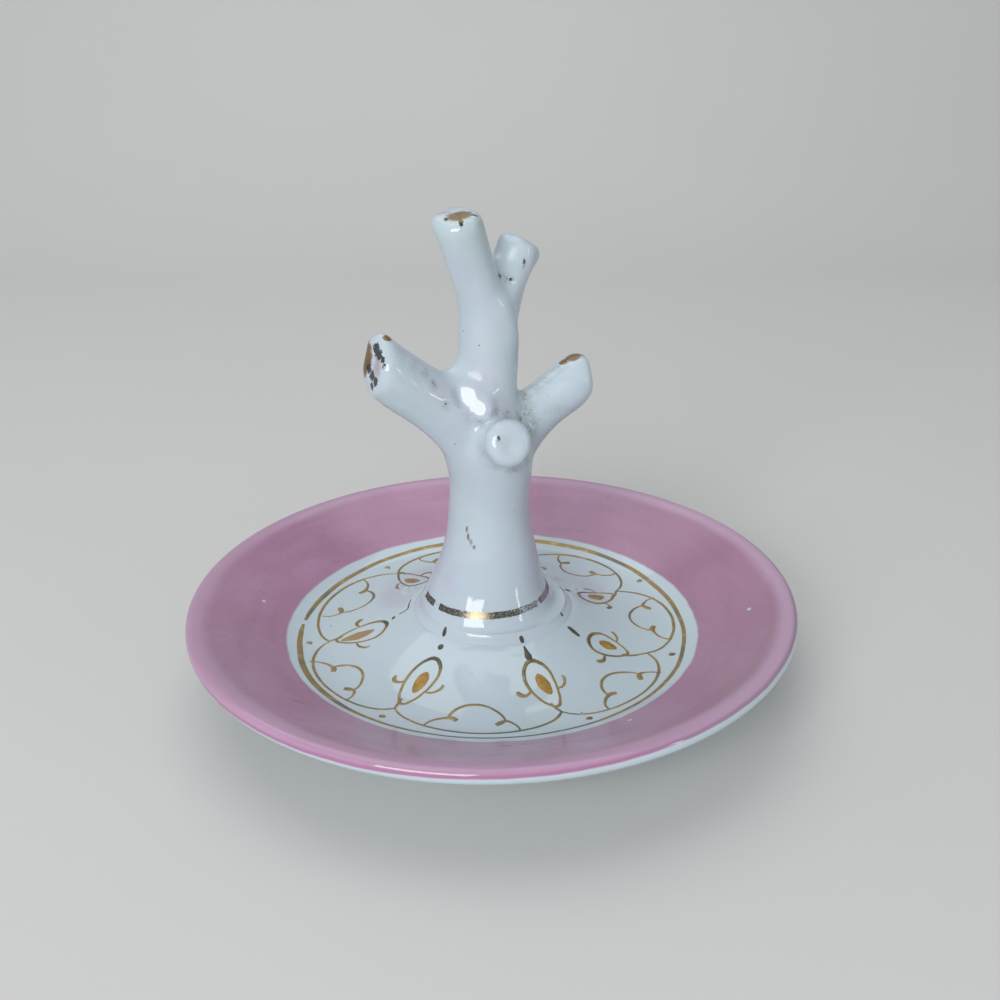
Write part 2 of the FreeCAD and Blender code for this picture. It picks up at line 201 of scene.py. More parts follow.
class NodeSketch:
    """A material's nodes, drawn one at a time from the piece's Object coordinates."""

    UNDER, OVER, MIXED = 6, 7, 2
    STREAK_DETAIL = 3.0

    def __init__(self, name: str) -> None:
        """Starts a material with its shader."""
        self.material = bpy.data.materials.new(name)
        self.material.use_nodes = True
        self.nodes = self.material.node_tree.nodes
        self.links = self.material.node_tree.links
        self.shader = self.nodes["Principled BSDF"]
        self.place = self.add("ShaderNodeTexCoord").outputs["Object"]

    def add(self, kind: str, *sources: object, **settings: object) -> bpy.types.Node:
        """Adds a node, sets its properties and feeds its first sockets."""
        node = self.nodes.new(kind)
        for setting, value in settings.items():
            setattr(node, setting, value)
        for socket, source in zip(node.inputs, sources):
            self.feed(socket, source)
        return node

    def feed(self, socket: Socket, source: object) -> None:
        """Links a socket to another one, or sets its value."""
        if isinstance(source, Socket):
            self.links.new(source, socket)
        elif socket.type == "RGBA":
            socket.default_value = (*source, 1.0)
        else:
            socket.default_value = source

    def shade(self, name: str, source: object) -> None:
        """Feeds one of the shader's sockets."""
        self.feed(self.shader.inputs[name], source)

    def math(self, operation: str, *operands: object) -> Socket:
        """A sum, difference or other scalar operation."""
        return self.add("ShaderNodeMath", *operands, operation=operation).outputs["Value"]

    def times(self, value: object, factor: object) -> Socket:
        """A product."""
        return self.math("MULTIPLY", value, factor)

    def line(self, value: object, slope: object, start: object) -> Socket:
        """A value times a slope, added to a start."""
        return self.math("MULTIPLY_ADD", value, slope, start)

    def vector(self, operation: str, *operands: object) -> Socket:
        """A vector operation's result, which is a number for LENGTH and else a vector."""
        node = self.add("ShaderNodeVectorMath", *operands, operation=operation)
        return node.outputs["Value" if operation == "LENGTH" else "Vector"]

    def noise_over(self, place: object, scale: float, detail: float) -> Socket:
        """Noise over coordinates of any kind."""
        node = self.add("ShaderNodeTexNoise")
        for name, source in (("Vector", place), ("Scale", scale), ("Detail", detail)):
            self.feed(node.inputs[name], source)
        return node.outputs["Fac"]

    def noise(self, size: float, detail: float = 2.0) -> Socket:
        """Soft noise about 0.5, with blotches of a size and octaves of finer detail."""
        return self.noise_over(self.place, 1.0 / (size * MM), detail)

    def blotches(self, kind: Blotches) -> Socket:
        """1 in blotches of noise, and 0 between them."""
        return self.step(self.noise(kind.size, kind.detail), kind.start, kind.whole)

    def streaks(self, length: float, width: float) -> Socket:
        """Noise drawn out round the saucer's axis, as a brush leaves it on the wheel.

        Args:
            length: degrees that a streak runs on for
            width: its width

        Returns:
            The noise's value.
        """
        way = self.vector("NORMALIZE", self.vector("MULTIPLY", self.place, (1.0, 1.0, 0.0)))
        way = self.vector("MULTIPLY", way, (1.0 / math.radians(length),) * 3)
        lift = self.add("ShaderNodeCombineXYZ", 0.0, 0.0, self.math("DIVIDE", self.radius(), width))
        return self.noise_over(self.vector("ADD", way, lift.outputs["Vector"]), 1.0, self.STREAK_DETAIL)

    def wander(self, size: float, amount: float) -> Socket:
        """Noise about 0 that swings as far as an amount."""
        return self.line(self.noise(size), 2.0 * amount, -amount)

    def step(self, value: object, low: float, high: float) -> Socket:
        """A smooth step from 0 to 1 between two values, or from 1 to 0 where low is the higher one."""
        node = self.add("ShaderNodeMapRange", interpolation_type="SMOOTHSTEP")
        ends = (low, high, 0.0, 1.0) if low < high else (high, low, 1.0, 0.0)
        for name, source in zip(("Value", "From Min", "From Max", "To Min", "To Max"), (value, *ends)):
            self.feed(node.inputs[name], source)
        return node.outputs["Result"]

    def band(self, value: object, low: float, high: float, soft: float) -> Socket:
        """1 between two values and 0 outside, with soft edges."""
        rise = self.step(value, low - soft, low + soft)
        return self.times(rise, self.step(value, high + soft, high - soft))

    def near(self, centre: Place, reach: Place, fray: object, solid: float) -> Socket:
        """A patch round a place on the piece.

        Args:
            centre: the patch's middle
            reach: how far it reaches along each axis
            fray: how far its edge wanders, as a share of its reach
            solid: the share of its reach inside which it is whole

        Returns:
            1 inside the patch, and 0 outside.
        """
        away = self.vector("SUBTRACT", self.place, Vector(centre) * MM)
        share = self.vector("LENGTH", self.vector("DIVIDE", away, Vector(reach) * MM))
        return self.step(self.math("ADD", share, fray), 1.0, solid)

    def any_of(self, *masks: Socket) -> Socket:
        """The strongest of several masks."""
        strongest = masks[0]
        for mask in masks[1:]:
            strongest = self.math("MAXIMUM", strongest, mask)
        return strongest

    def blend(self, share: object, under: object, over: object) -> Socket:
        """One colour laid over another by a share."""
        node = self.add("ShaderNodeMix", share, data_type="RGBA")
        self.feed(node.inputs[self.UNDER], under)
        self.feed(node.inputs[self.OVER], over)
        return node.outputs[self.MIXED]

    def layer(self, colour: object, *layers: tuple[object, object, object]) -> Socket:
        """Lays colours over one another.

        Args:
            colour: the lowest colour
            layers: for each layer from below, where it lies, how thickly, and its colour

        Returns:
            The colour that shows.
        """
        for mask, thickness, over in layers:
            colour = self.blend(self.times(mask, thickness), colour, over)
        return colour

    def ripple(self, size: float, detail: float, depth: float) -> None:
        """Lets noise ripple the surface by a depth."""
        bump = self.add("ShaderNodeBump")
        bump.inputs["Strength"].default_value = 1.0
        bump.inputs["Distance"].default_value = depth * MM
        self.feed(bump.inputs["Height"], self.noise(size, detail))
        self.shade("Normal", bump.outputs["Normal"])

    def radius(self) -> Socket:
        """Distance from the saucer's axis."""
        return self.vector("LENGTH", self.vector("MULTIPLY", self.place, (1.0 / MM, 1.0 / MM, 0.0)))

    def along(self, axis: str) -> Socket:
        """Distance along an axis: X to the right, Y to the back and Z up."""
        return self.times(self.add("ShaderNodeSeparateXYZ", self.place).outputs[axis], 1.0 / MM)


@dataclass(frozen=True)
class Porcelain:
    """Clear glossy glaze on cool white porcelain."""

    white: Colour = (0.525, 0.615, 0.680)
    cool: Colour = (0.470, 0.575, 0.605)
    cool_places: Blotches = Blotches(14.0, 2.0, 0.40, 0.75)
    tint: Colour = (0.520, 0.560, 0.650)
    tint_places: Blotches = Blotches(9.0, 2.0, 0.45, 0.75)
    grime: Colour = (0.150, 0.155, 0.130)
    speckled_places: Blotches = Blotches(11.0, 2.0, 0.50, 0.56)
    roughness: float = 0.045
    refraction: float = 1.52
    glow: float = 0.08
    glow_depth: float = 1.2
    glow_spread: Colour = (1.0, 0.95, 0.9)

    def start(self, name: str) -> NodeSketch:
        """Starts a glazed material, with the settings that are the same all over."""
        sketch = NodeSketch(name)
        sketch.shade("IOR", self.refraction)
        sketch.shade("Subsurface Weight", self.glow)
        sketch.shade("Subsurface Radius", self.glow_spread)
        sketch.shade("Subsurface Scale", self.glow_depth * MM)
        return sketch

    def body(self, sketch: NodeSketch) -> Socket:
        """The porcelain's own white, a little uneven."""
        colour = sketch.blend(sketch.blotches(self.cool_places), self.white, self.cool)
        return sketch.blend(sketch.blotches(self.tint_places), colour, self.tint)

    def specks(self, sketch: NodeSketch, spacing: float, share: float) -> Socket:
        """Sparse dark specks fired into the glaze.

        Args:
            sketch: the material's nodes
            spacing: millimetres between places where a speck may lie
            share: share of the spacing that a speck covers

        Returns:
            1 in a speck, and 0 elsewhere.
        """
        cells = sketch.add("ShaderNodeTexVoronoi")
        sketch.feed(cells.inputs["Vector"], sketch.place)
        sketch.feed(cells.inputs["Scale"], 1.0 / (spacing * MM))
        dot = sketch.step(cells.outputs["Distance"], share, share / 2)
        return sketch.times(dot, sketch.blotches(self.speckled_places))


@dataclass(frozen=True)
class SaucerFinish:
    """White glaze with a hand-laid pink enamel rim, and a bare foot."""

    porcelain: Porcelain = Porcelain(cool=(0.505, 0.605, 0.655), tint=(0.515, 0.615, 0.655))
    specks: Polar = (5.0, 0.035)
    ripple: Place = (4.0, 1.0, 0.02)
    biscuit: Colour = (0.460, 0.440, 0.400)
    foot_edge: Polar = (0.45, 0.25)
    foot_matt: float = 0.6
    pink: Colour = (0.385, 0.195, 0.312)
    bright_pink: Colour = (0.435, 0.238, 0.372)
    dull_pink: Colour = (0.285, 0.150, 0.215)
    # pale pink of the thin enamel at the lip, lightened as a painted highlight
    pale_pink: Colour = (0.500, 0.330, 0.470)
    edge_pink: Colour = (0.390, 0.150, 0.300)
    worn_edge: Colour = (0.215, 0.150, 0.215)
    pink_start: float = 31.0
    start_wander: Polar = (7.0, 0.3)
    start_blur: float = 0.22
    pink_end: float = -1.75
    pink_drift: float = 0.014
    end_wander: Polar = (6.0, 0.16)
    end_blur: float = 0.12
    bright_places: Blotches = Blotches(20.0, 2.0, 0.40, 0.70)
    streaks: Polar = (25.0, 2.5)
    streaked: Polar = (0.45, 0.70)
    streak_share: float = 0.28
    mottled_places: Blotches = Blotches(1.2, 4.0, 0.50, 0.72)
    mottle_share: float = 0.2
    # the band paler towards the lip: thin enamel, and a painted highlight on the lip's rounding
    pale_lip_band: Polar = (41.2, 43.2)
    pale_lip_wander: Polar = (8.0, 0.5)
    pale_lip_share: float = 0.6
    gathered: Place = (0.05, 0.55, 0.2)
    gathered_share: float = 0.75
    rubbed_side: Polar = (14.0, 32.0)
    rubbed_dull: float = 0.4
    rubbed_pale: float = 0.3
    rubbed_edge: float = -0.2
    stain: Colour = (0.180, 0.115, 0.110)
    stains: tuple[Place, ...] = ((-25.4, -24.7, 9.3), (1.8, -33.7, 8.5), (4.2, -33.1, 8.3))
    stain_reach: Place = (1.5, 0.7, 0.9)
    stain_fray: Polar = (0.9, 0.6)
    stain_share: float = 0.5
    bare_spots: tuple[Place, ...] = ((-35.35, 2.98, 9.33), (38.2, -3.88, 10.74), (17.83, -28.3, 8.36))
    bare_reach: Place = (0.36, 0.36, 0.36)
    bare_fray: Polar = (0.7, 0.4)
    bare_solid: float = 0.7
    matt: float = 0.15
    glossy_lip: Polar = (44.3, 43.3)

    def material(self, saucer: "Saucer") -> bpy.types.Material:
        """The saucer's material.

        Args:
            saucer: the saucer, whose rim says where the enamel lies

        Returns:
            The material.
        """
        sketch = self.porcelain.start("saucer_porcelain")
        radius = sketch.radius()
        height = sketch.along("Z")
        over_rim = sketch.math("SUBTRACT", height, saucer.rim_line(sketch, radius))
        laid = self.laid(sketch, radius, over_rim)
        foot = sketch.step(height, *self.foot_edge)
        colour = sketch.layer(
            self.porcelain.body(sketch),
            (laid, 1.0, self.enamel(sketch, radius, over_rim)),
            (self.porcelain.specks(sketch, *self.specks), 1.0, self.porcelain.grime),
            (foot, 1.0, self.biscuit),
        )
        sketch.shade("Base Color", colour)
        matt = sketch.times(laid, sketch.step(radius, *self.glossy_lip))
        sheen = sketch.line(matt, self.matt, self.porcelain.roughness)
        sketch.shade("Roughness", sketch.line(foot, self.foot_matt, sheen))
        sketch.ripple(*self.ripple)
        return sketch.material

    def limit(self, sketch: NodeSketch, over_rim: Socket) -> Socket:
        """How far a place on the lip lies above the enamel's outer edge, which drops to the left."""
        drift = sketch.line(sketch.along("X"), -self.pink_drift, -self.pink_end)
        return sketch.math("ADD", sketch.math("ADD", over_rim, drift), sketch.wander(*self.end_wander))

    def laid(self, sketch: NodeSketch, radius: Socket, over_rim: Socket) -> Socket:
        """Where the enamel lies.

        Args:
            sketch: the material's nodes
            radius: distance from the saucer's axis
            over_rim: height over the line of the rim's slope

        Returns:
            1 on the enamel, and 0 on bare glaze.
        """
        inner = sketch.math("ADD", radius, sketch.wander(*self.start_wander))
        inside = sketch.step(inner, self.pink_start - self.start_blur, self.pink_start + self.start_blur)
        outside = sketch.step(self.limit(sketch, over_rim), -self.end_blur, self.end_blur)
        fray = sketch.wander(*self.bare_fray)
        spots = (sketch.near(spot, self.bare_reach, fray, self.bare_solid) for spot in self.bare_spots)
        whole = sketch.math("SUBTRACT", 1.0, sketch.any_of(*spots))
        return sketch.times(sketch.times(inside, outside), whole)

    def enamel(self, sketch: NodeSketch, radius: Socket, over_rim: Socket) -> Socket:
        """The pink itself: mottled, streaked by the brush, paler towards the lip where it is thin and a
        highlight is painted, and gathered at the edge.

        Args:
            sketch: the material's nodes
            radius: distance from the saucer's axis
            over_rim: height over the line of the rim's slope

        Returns:
            Its colour.
        """
        rubbed = sketch.step(sketch.along("X"), *self.rubbed_side)
        # paler towards the lip: thin enamel, and a painted highlight
        thin = sketch.step(sketch.math("ADD", radius, sketch.wander(*self.pale_lip_wander)), *self.pale_lip_band)
        gathered = sketch.band(self.limit(sketch, over_rim), *self.gathered)
        fray = sketch.wander(*self.stain_fray)
        stains = sketch.any_of(*(sketch.near(place, self.stain_reach, fray, 0.0) for place in self.stains))
        return sketch.layer(
            self.pink,
            (sketch.blotches(self.bright_places), 1.0, self.bright_pink),
            (sketch.step(sketch.streaks(*self.streaks), *self.streaked), self.streak_share, self.dull_pink),
            (sketch.blotches(self.mottled_places), self.mottle_share, self.dull_pink),
            (rubbed, self.rubbed_dull, self.dull_pink),
            (thin, sketch.line(rubbed, self.rubbed_pale, self.pale_lip_share), self.pale_pink),
            (
                gathered,
                sketch.line(rubbed, self.rubbed_edge, self.gathered_share),
                sketch.blend(rubbed, self.edge_pink, self.worn_edge),
            ),
            (stains, self.stain_share, self.stain),
        )


@dataclass(frozen=True)
class Gilding:
    """Worn, partly tarnished gilding painted over the glaze, its olive and dark tones partly painted
    reflection of dark surroundings.
    """

    gold: Colour = (0.300, 0.213, 0.078)
    pale: Colour = (0.400, 0.312, 0.165)
    pale_places: Blotches = Blotches(1.6, 3.0, 0.48, 0.70)
    # olive and tarnish: dulled and tarnished gold, also painted reflection of dark surroundings
    olive: Colour = (0.160, 0.160, 0.120)
    dull_places: Blotches = Blotches(6.0, 3.0, 0.50, 0.64)
    dull_front: Place = (1.0, -30.0, 8.0)
    dull_reach: Place = (21.0, 7.5, 6.0)
    dull_fray: Polar = (4.0, 0.4)
    dull_solid: float = 0.5
    dull_share: float = 0.85
    tarnish: Colour = (0.100, 0.095, 0.070)
    tarnish_size: Polar = (3.0, 4.0)
    tarnish_grain: float = 0.35
    grain_share: float = 0.4
    clean_limit: float = 1.05
    dark_limit: float = 0.5
    tarnish_blur: float = 0.25
    trunk_side: Polar = (18.2, 15.2)
    trunk_tarnish: float = 0.34
    roughness: float = 0.34
    roughness_range: float = 0.2
    metal: float = 0.45
    ripple: Place = (0.35, 2.0, 0.012)

    def colour(self, sketch: NodeSketch, darkness: float) -> Socket:
        """The gold, dulled to olive at the front and in places, and darker towards the trunk, as tarnish and
        painted reflection.

        Args:
            sketch: the material's nodes
            darkness: how dark it is, as tarnish and painted reflection, from 0 to 1

        Returns:
            Its colour.
        """
        front = sketch.near(self.dull_front, self.dull_reach, sketch.wander(*self.dull_fray), self.dull_solid)
        grain = sketch.times(sketch.noise(self.tarnish_grain), self.grain_share)
        patches = sketch.math("ADD", sketch.noise(*self.tarnish_size), grain)
        spread = sketch.line(sketch.step(sketch.radius(), *self.trunk_side), self.trunk_tarnish, patches)
        low = self.clean_limit + (self.dark_limit - self.clean_limit) * darkness
        return sketch.layer(
            self.gold,
            (sketch.blotches(self.pale_places), 1.0, self.pale),
            (sketch.any_of(front, sketch.blotches(self.dull_places)), self.dull_share, self.olive),
            (sketch.step(spread, low, low + self.tarnish_blur), 1.0, self.tarnish),
        )

    def material(self, name: str, darkness: float) -> bpy.types.Material:
        """A gilded line's material.

        Args:
            name: the material's name
            darkness: how dark it is, as tarnish and painted reflection, from 0 to 1

        Returns:
            The material.
        """
        sketch = NodeSketch(name)
        sketch.shade("Base Color", self.colour(sketch, darkness))
        sketch.shade("Metallic", self.metal)
        smoothest = self.roughness - self.roughness_range / 2
        tarnish = sketch.noise(*self.tarnish_size)
        sketch.shade("Roughness", sketch.line(tarnish, self.roughness_range, smoothest))
        sketch.ripple(*self.ripple)
        return sketch.material


@dataclass(frozen=True)
class TrunkGilding(Gilding):
    """The trunk's line: blackened, partly as painted reflection, with a painted pale glint in front, worn to
    a pink ground on the right.
    """

    fray: Polar = (0.7, 0.3)
    # painted glint: pale gold where the window lamp's highlight falls on the line
    painted_glint: Place = (-1.9, -9.3, 13.2)
    painted_glint_reach: Place = (2.3, 1.6, 1.2)
    painted_glint_solid: float = 0.4
    ground: Colour = (0.370, 0.300, 0.330)
    worn: Place = (7.9, -3.1, 13.2)
    worn_reach: Place = (1.7, 2.3, 1.6)
    worn_solid: float = 0.5
    worn_share: float = 0.85
    glaze: Colour = (0.480, 0.560, 0.610)
    rubbed: Place = (5.7, -6.5, 13.2)
    rubbed_reach: Place = (2.6, 2.6, 1.6)
    rubbed_grain: float = 0.15
    bare_grain: Polar = (0.2, 3.0)
    bare_limit: Polar = (0.56, 0.66)
    bare_share: float = 0.75

    def colour(self, sketch: NodeSketch, darkness: float) -> Socket:
        """The line's colour, which differs from place to place, with a painted glint and glaze showing
        through its grain.
        """
        fray = sketch.wander(*self.fray)
        rubbed = sketch.near(self.rubbed, self.rubbed_reach, fray, self.worn_solid)
        grain = sketch.line(rubbed, self.rubbed_grain, sketch.noise(*self.bare_grain))
        return sketch.layer(
            super().colour(sketch, darkness),
            (sketch.near(self.painted_glint, self.painted_glint_reach, fray, self.painted_glint_solid), 1.0, self.pale),
            (sketch.near(self.worn, self.worn_reach, fray, self.worn_solid), self.worn_share, self.ground),
            (sketch.step(grain, *self.bare_limit), self.bare_share, self.glaze),
        )


@dataclass(frozen=True)
class SeedFinish:
    """The ochre that fills the medallions, thin in places and faded on the left."""

    ochre: Colour = (0.330, 0.180, 0.025)
    thin: Colour = (0.420, 0.260, 0.060)
    thin_places: Blotches = Blotches(1.4, 3.0, 0.45, 0.70)
    brown: Colour = (0.130, 0.070, 0.022)
    brown_places: Blotches = Blotches(0.8, 3.0, 0.55, 0.75)
    faded: Colour = (0.385, 0.265, 0.135)
    faded_side: Polar = (-13.0, -15.0)
    faded_share: float = 0.75
    metal: float = 0.2
    roughness: float = 0.32
    ripple: Place = (0.4, 2.0, 0.012)

    def material(self) -> bpy.types.Material:
        """The ochre's material."""
        sketch = NodeSketch("seed_ochre")
        colour = sketch.layer(
            self.ochre,
            (sketch.blotches(self.thin_places), 1.0, self.thin),
            (sketch.blotches(self.brown_places), 1.0, self.brown),
            (sketch.step(sketch.along("X"), *self.faded_side), self.faded_share, self.faded),
        )
        sketch.shade("Base Color", colour)
        sketch.shade("Metallic", self.metal)
        sketch.shade("Roughness", self.roughness)
        sketch.ripple(*self.ripple)
        return sketch.material


@dataclass(frozen=True)
class Patch:
    """A place on the tree where gilding or dirt has stayed, or where shade is painted.

    Attributes:
        centre: the patch's middle
        reach: how far it reaches along each axis
        strength: how thick it lies there
    """

    centre: Place
    reach: Place
    strength: float = 1.0


@dataclass(frozen=True)
class TreeFinish:
    """White glaze with gilding left on the cut ends, and dirt and painted shade in the crooks and along
    edges.
    """

    porcelain: Porcelain = Porcelain()
    gilding: Gilding = Gilding()
    hairline: Colour = (0.170, 0.085, 0.060)
    old_gold: Colour = (0.230, 0.150, 0.050)
    black: Colour = (0.013, 0.013, 0.012)
    faded: Colour = (0.400, 0.365, 0.385)
    brown: Colour = (0.130, 0.090, 0.050)
    # olive: colour of the dirt, and of the shade painted on the tree
    olive: Colour = (0.190, 0.205, 0.160)
    fray_size: float = 0.7
    specks: Polar = (2.6, 0.07)
    speck_share: float = 0.7
    matt: float = 0.3
    ripple: Place = (3.0, 3.0, 0.03)
    gilded_edge: Polar = (0.35, 0.6)
    gilded_places: Blotches = Blotches(1.1, 4.0, 0.22, 0.36)
    tarnished_places: Blotches = Blotches(0.7, 4.0, 0.42, 0.66)
    fringe_edge: Polar = (0.35, 0.2)
    fringe_share: float = 0.75
    gilded: tuple[Patch, ...] = (
        Patch((-3.3, -5.6, 68.8), (2.1, 1.6, 1.2)),
        Patch((-1.7, -5.75, 68.95), (1.0, 0.35, 0.5)),
        Patch((-3.1, -7.0, 68.3), (0.4, 0.8, 0.7)),
        Patch((-15.9, -5.8, 50.9), (1.5, 2.0, 2.6)),
        Patch((-16.3, -5.6, 49.2), (0.9, 1.5, 1.6)),
        Patch((12.0, 4.3, 47.4), (1.7, 1.3, 0.9)),
        Patch((10.7, 4.0, 46.8), (1.0, 0.9, 0.6)),
        Patch((13.9, 5.6, 44.4), (1.2, 2.2, 2.2)),
        Patch((4.9, 3.3, 64.0), (1.9, 1.9, 1.0)),
        Patch((-13.0, -7.2, 53.6), (0.8, 0.9, 0.55)),
    )
    crumb_edge: Polar = (0.2, 0.3)
    crumbs: Polar = (0.3, 4.0)
    crumb_swing: float = 2.0
    crumb_limit: Polar = (1.5, 1.72)
    crumb_share: float = 0.93
    blackened: tuple[Patch, ...] = (
        Patch((-3.05, -7.5, 68.0), (0.4, 0.7, 0.7), 0.9),
        Patch((-5.0, -6.1, 68.5), (0.6, 0.6, 0.5), 0.8),
        Patch((-14.5, -7.75, 52.25), (1.0, 1.25, 1.4)),
        Patch((-14.05, -8.5, 51.7), (1.0, 1.1, 1.25)),
        Patch((-13.55, -9.35, 51.2), (0.6, 0.75, 1.0), 0.8),
        Patch((-13.35, -9.8, 50.5), (0.5, 0.6, 1.1), 0.7),
        Patch((-15.7, -6.95, 49.4), (0.9, 1.25, 1.1), 0.9),
        Patch((-15.2, -8.0, 48.8), (1.0, 1.25, 1.25)),
        Patch((-14.7, -9.2, 48.3), (0.9, 1.1, 1.1)),
        Patch((-15.3, -8.5, 47.5), (0.75, 1.0, 0.9), 0.9),
        Patch((-7.3, -7.2, 47.4), (0.4, 0.5, 0.5), 0.6),
        Patch((-5.7, -7.15, 44.4), (0.25, 0.3, 0.3), 0.8),
        Patch((-0.7, -5.9, 41.4), (0.6, 0.7, 0.5), 0.6),
        Patch((4.4, -2.4, 40.7), (0.5, 0.7, 0.7), 0.6),
        Patch((1.3, -10.15, 40.6), (0.4, 0.5, 0.7), 0.75),
        Patch((1.7, -2.3, 60.5), (0.4, 0.7, 0.6), 0.85),
        Patch((3.1, -1.05, 59.7), (0.5, 0.6, 0.35), 0.7),
        Patch((5.0, -0.15, 61.9), (0.3, 0.5, 0.5), 0.75),
    )
    rubbed_edge: Polar = (0.5, 0.4)
    rubbed_share: float = 0.8
    rubbed: tuple[Patch, ...] = (Patch((-14.3, -8.7, 50.2), (1.2, 1.7, 2.2)),)
    dirt_and_shade_edge: Polar = (0.45, 0.0)
    dirt_and_shade_grain: Blotches = Blotches(0.28, 3.0, 0.42, 0.68)
    dirt_and_shade_veil: float = 0.21
    dirt_and_shade_thickness: float = 0.56
    # Dirt, and painted shade: under the front stub, at the right branch's base and underside, along the
    # fork's edges and the trunk's right edge
    dirty_and_shaded: tuple[Patch, ...] = (
        Patch((-11.1, -8.2, 51.7), (2.4, 1.8, 1.8), 0.45),
        Patch((-9.6, -7.7, 50.2), (2.2, 1.6, 1.6), 0.5),
        Patch((-8.2, -7.2, 48.8), (1.7, 1.4, 1.4), 0.7),
        Patch((-7.2, -7.2, 47.4), (1.4, 1.2, 1.5), 0.85),
        Patch((-5.7, -7.15, 44.5), (1.5, 1.2, 1.7), 0.6),
        Patch((-2.4, -6.2, 42.3), (1.5, 1.2, 1.4), 0.45),
        Patch((-0.9, -5.9, 41.3), (1.5, 1.3, 1.1), 0.9),
        Patch((0.9, -5.2, 42.4), (1.8, 1.6, 1.2), 0.9),
        Patch((2.4, -4.6, 42.0), (1.8, 1.6, 1.1)),
        Patch((4.2, -2.6, 40.8), (1.3, 1.6, 1.5)),
        # the next two patches: painted shade where the right branch meets the trunk
        Patch((5.3, -1.0, 41.3), (1.9, 2.4, 2.6)),
        Patch((5.9, -1.8, 39.2), (1.8, 2.0, 2.6), 0.8),
        Patch((-1.2, -6.8, 37.8), (1.4, 1.4, 2.4), 0.35),
        # the next two patches: painted shadow under the front stub
        Patch((0.9, -6.6, 35.2), (2.2, 1.4, 1.3), 0.5),
        Patch((3.6, -5.2, 34.1), (2.2, 1.6, 1.0)),
        Patch((5.4, -3.1, 34.5), (1.2, 1.6, 1.3), 0.5),
        Patch((5.1, 0.6, 42.9), (1.4, 2.0, 1.6)),
        Patch((6.6, 1.7, 43.8), (2.0, 1.6, 1.4), 0.75),
        Patch((7.8, 2.4, 44.7), (2.2, 1.6, 1.5), 0.75),
        Patch((9.6, 3.1, 46.1), (2.2, 1.4, 1.4), 0.65),
        # painted shade under the right branch
        Patch((9.4, 0.0, 41.0), (3.2, 1.6, 1.2), 0.4),
        Patch((1.6, -2.4, 60.6), (0.7, 1.2, 0.9), 1.2),
        Patch((2.6, -1.3, 60.0), (1.2, 1.0, 0.9), 0.9),
        Patch((3.2, -1.0, 59.7), (0.7, 0.9, 0.6)),
        Patch((5.0, -0.15, 61.6), (0.5, 0.8, 1.3), 1.1),
        Patch((4.6, -1.0, 57.6), (1.4, 1.6, 2.4), 0.45),
        # the next three patches: dirt and painted shade along the fork's edges
        Patch((1.5, 2.1, 64.0), (1.0, 1.6, 1.8), 0.7),
        Patch((5.2, 1.0, 64.4), (1.4, 1.2, 0.9), 0.5),
        Patch((6.4, 0.9, 62.2), (0.9, 1.2, 1.8), 0.7),
        Patch((-0.9, -6.4, 68.1), (0.8, 1.0, 1.2), 0.6),
        Patch((-5.4, -4.2, 69.0), (1.6, 1.6, 0.9), 0.6),
        Patch((-4.2, -2.7, 69.3), (1.6, 1.2, 0.6), 0.5),
        Patch((1.3, -10.1, 40.4), (0.7, 0.5, 0.8), 1.1),
        # painted shade along the trunk's right edge
        Patch((4.0, -1.3, 50.5), (0.7, 1.2, 6.0), 0.45),
    )
    dulled_edge: Polar = (0.4, 0.3)
    dulled: tuple[Patch, ...] = (
        Patch((-10.6, -9.2, 48.9), (2.0, 1.6, 1.8)),
        Patch((-8.5, -8.5, 47.1), (1.5, 1.4, 1.5)),
        Patch((-4.7, -6.6, 44.4), (1.9, 1.5, 1.6)),
        Patch((-1.8, -4.2, 47.4), (1.8, 1.4, 1.4)),
        Patch((3.4, -0.2, 62.9), (1.6, 1.2, 2.0)),
        Patch((9.9, 0.6, 43.6), (4.5, 2.4, 2.6)),
    )
    crack_edge: Polar = (0.6, 0.3)
    crack_grain: Blotches = Blotches(0.30, 4.0, 0.24, 0.50)
    crack_share: float = 0.85
    crack: tuple[Patch, ...] = (
        Patch((-3.4, -5.2, 24.9), (0.28, 0.6, 0.8)),
        Patch((-3.25, -5.45, 24.1), (0.3, 0.6, 0.9)),
        Patch((-2.85, -5.75, 23.2), (0.38, 0.6, 0.7), 0.7),
        Patch((-2.4, -6.0, 22.5), (0.26, 0.6, 0.35)),
    )

    def cover(self, sketch: NodeSketch, patches: Iterable[Patch], edge: Polar) -> Socket:
        """One mask for several patches.

        Args:
            sketch: the material's nodes
            patches: the patches
            edge: how far their edges wander, and the share of their reach inside which they are whole

        Returns:
            The strongest patch's strength, and 0 outside all of them.
        """
        ragged, solid = edge
        fray = sketch.wander(self.fray_size, ragged)
        masks = []
        for patch in patches:
            mask = sketch.near(patch.centre, patch.reach, fray, solid)
            masks.append(sketch.times(mask, patch.strength))
        return sketch.any_of(*masks)

    def dirt_and_shade(self, sketch: NodeSketch) -> Socket:
        """The dirt in the crooks, and painted shade in some patches: a thin veil, thicker in its grain."""
        thickness = self.cover(sketch, self.dirty_and_shaded, self.dirt_and_shade_edge)
        grain = sketch.blotches(self.dirt_and_shade_grain)
        return sketch.times(thickness, sketch.line(grain, self.dirt_and_shade_thickness, self.dirt_and_shade_veil))

    def black_crumbs(self, sketch: NodeSketch) -> Socket:
        """The crumbs that blackened gilding has left."""
        cover = self.cover(sketch, self.blackened, self.crumb_edge)
        crumbs = sketch.line(sketch.noise(*self.crumbs), self.crumb_swing, cover)
        return sketch.step(crumbs, *self.crumb_limit)

